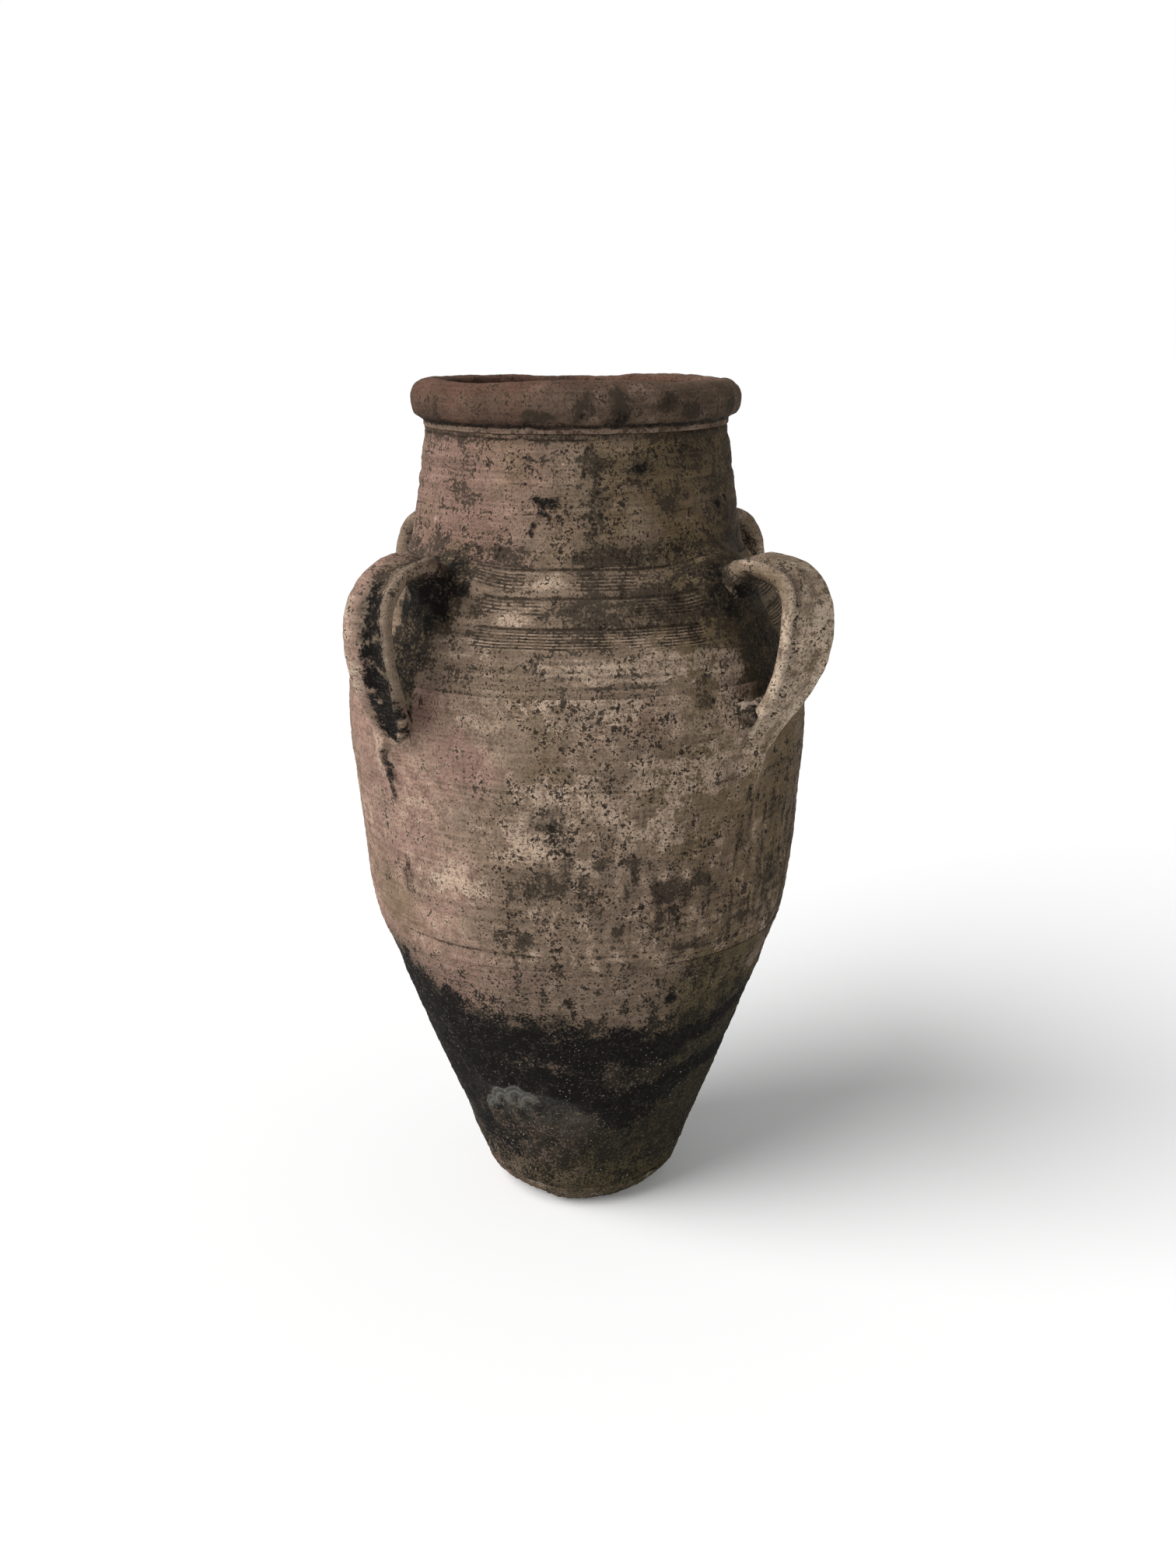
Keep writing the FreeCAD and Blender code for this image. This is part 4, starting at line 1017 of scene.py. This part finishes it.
def clay_wad(node):
    """The CAD wad's form as one even skin that can be pressed about."""
    bm = bmesh.new()
    bm.from_mesh(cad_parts[node].data)
    bmesh.ops.remove_doubles(bm, verts=bm.verts, dist=0.01 * MM)
    rough = bpy.data.meshes.new("rough")
    bm.to_mesh(rough)
    lump = bpy.data.objects.new("lump", rough)
    bpy.context.scene.collection.objects.link(lump)
    even = lump.modifiers.new("even", "REMESH")
    even.mode = "VOXEL"
    even.voxel_size = WAD_VOXEL
    shaped = bpy.data.meshes.new_from_object(lump.evaluated_get(bpy.context.evaluated_depsgraph_get()))
    bm.clear()
    bm.from_mesh(shaped)
    bpy.data.objects.remove(lump)
    bpy.data.meshes.remove(rough)
    bpy.data.meshes.remove(shaped)
    for _ in range(WAD_SMOOTHING):
        bmesh.ops.smooth_vert(
            bm, verts=bm.verts, factor=0.5, use_axis_x=True, use_axis_y=True, use_axis_z=True,
        )
    return bm


for seed, name in enumerate(HEADINGS):
    for place in ("upper", "lower"):
        bm = clay_wad(f"{place}_wad_{name}")
        wad = finish_piece(f"clay_{place}_wad_{name}", bm, f"{place}_wad_{name}")
        wad.data.materials.append(wad_clay)
        unturn = Matrix.Rotation(math.radians(-HEADINGS[name]), 4, "Z")
        wad.data.transform(unturn)
        points = points_of(wad.data)
        points[:, 1] *= WAD_SPREAD.get((place, name), 1.0)
        points[:, 1] += MM * WAD_SHIFT.get((place, name), 0)
        if place == "lower":
            points[:, 2] -= WAD_DROP * ease(points[:, 2] / MM, 485, 520)
            radius, wall = np.hypot(points[:, 0], points[:, 1]), jar_radius(points[:, 2])
            thinned = 0.15 + 0.85 * ease(points[:, 2] / MM, 448, 480)
            spread = np.where(radius > wall, wall + (radius - wall) * thinned, radius)
            points[:, :2] *= (spread / radius)[:, None]
        put_points(wad.data, points)
        wad.data.transform(unturn.inverted())
        points = points_of(wad.data)
        lumps = 0.5 * cloud(points, 18, 2, 91 + seed) + 0.15 * cloud(points, 6, 2, 95 + seed)
        swell(wad.data, WAD_SWELL.get((place, name), 2.0) + lumps)
        put_points(wad.data, keep_in_wall(points_of(wad.data)))
        ragged = cloud(points, 8, 4, 99 + seed)
        burnt = WAD_SOOT_AND_SHADE[place] + (0.35 if name == "front_left" else 0.0)
        wavy = points[:, 2] / MM + 3 * ragged
        lip = ease(wavy, 495, 499)
        hollow = between(wavy, 478, 484, 495, 499)
        torn = (place, name) == ("lower", "front_right")
        coats = {
            "rose": 0.3 + 0.2 * ragged,
            "moss": 0.3 + 0.2 * ragged,
            "pale": 0.1 + 0.2 * ragged + torn * (1.3 * lip + 0.5 * (1 - hollow)),
            "dirt_and_shade": WAD_GRIME_AND_SHADE[place] + 0.3 * ragged + torn * (0.6 * hollow - 0.8 * lip),
            "specks": 0.5 + 0 * ragged,
            "soot_and_shade": burnt + 0.3 * ragged + torn * (0.25 * hollow - 0.4 * lip),
        }
        paint(wad, coats)


# Studio: a plain white floor, one broad soft light from the left and a white surround.
# Their extra white shows only to the camera and in reflections, so the jar is lit at a plain level.
FLOOR_GLOW = 0.12
ROOM_LEVEL = 0.28
SUN_LEVEL = 3.4
SUN_SPREAD = math.radians(51)
SUN_DROP = math.radians(48)
SUN_TURN = math.radians(FRONT_DEGREES - 62)
CAMERA_REACH = 1.510
CAMERA_HEIGHT = 0.825
CAMERA_LENS = 39.29
CAMERA_TURN = math.radians(FRONT_DEGREES - 0.31)
CAMERA_TILT = math.radians(90 - 16.2)
CAMERA_ROLL = math.radians(-0.4)

floor_mesh = bpy.data.meshes.new("studio_floor")
bm = bmesh.new()
bmesh.ops.create_grid(bm, x_segments=1, y_segments=1, size=12)
bm.to_mesh(floor_mesh)
bm.free()
studio_floor = bpy.data.objects.new("studio_floor", floor_mesh)
bpy.context.scene.collection.objects.link(studio_floor)
white_paper = bpy.data.materials.new("white_paper")
white_paper.use_nodes = True
nodes, links = white_paper.node_tree.nodes, white_paper.node_tree.links
paper = nodes["Principled BSDF"]
paper.inputs["Base Color"].default_value = (0.9, 0.9, 0.9, 1)
paper.inputs["Roughness"].default_value = 0.9
paper.inputs["Specular IOR Level"].default_value = 0.0
paper.inputs["Emission Color"].default_value = (1, 1, 1, 1)
seen = nodes.new("ShaderNodeLightPath")
glow = nodes.new("ShaderNodeMath")
glow.operation = "MULTIPLY"
glow.inputs[1].default_value = FLOOR_GLOW
links.new(seen.outputs["Is Camera Ray"], glow.inputs[0])
links.new(glow.outputs[0], paper.inputs["Emission Strength"])
studio_floor.data.materials.append(white_paper)

camera = bpy.data.objects.new("camera", bpy.data.cameras.new("camera"))
camera.data.lens = CAMERA_LENS
stand = Vector((CAMERA_REACH * math.sin(FRONT), -CAMERA_REACH * math.cos(FRONT), CAMERA_HEIGHT))
facing = Matrix.Rotation(CAMERA_TURN, 4, "Z") @ Matrix.Rotation(CAMERA_TILT, 4, "X")
camera.matrix_world = Matrix.Translation(stand) @ facing @ Matrix.Rotation(CAMERA_ROLL, 4, "Z")
bpy.context.scene.collection.objects.link(camera)
bpy.context.scene.camera = camera

sun = bpy.data.objects.new("window_light", bpy.data.lights.new("window_light", "SUN"))
sun.data.energy = SUN_LEVEL
sun.data.angle = SUN_SPREAD
sun.rotation_euler = (SUN_DROP, 0, SUN_TURN)
bpy.context.scene.collection.objects.link(sun)

world = bpy.data.worlds.new("white_room")
bpy.context.scene.world = world
world.use_nodes = True
nodes, links = world.node_tree.nodes, world.node_tree.links
room = nodes["Background"]
room.inputs["Color"].default_value = (1, 1, 1, 1)
seen = nodes.new("ShaderNodeLightPath")
looked_at = seen.outputs["Is Camera Ray"]
for ray in ("Is Glossy Ray", "Is Transmission Ray"):
    either = nodes.new("ShaderNodeMath")
    either.operation = "MAXIMUM"
    links.new(looked_at, either.inputs[0])
    links.new(seen.outputs[ray], either.inputs[1])
    looked_at = either.outputs[0]
level = nodes.new("ShaderNodeMapRange")
level.inputs["To Min"].default_value = ROOM_LEVEL
level.inputs["To Max"].default_value = 1.0
links.new(looked_at, level.inputs["Value"])
links.new(level.outputs["Result"], room.inputs["Strength"])

bpy.context.scene.view_settings.view_transform = "Standard"
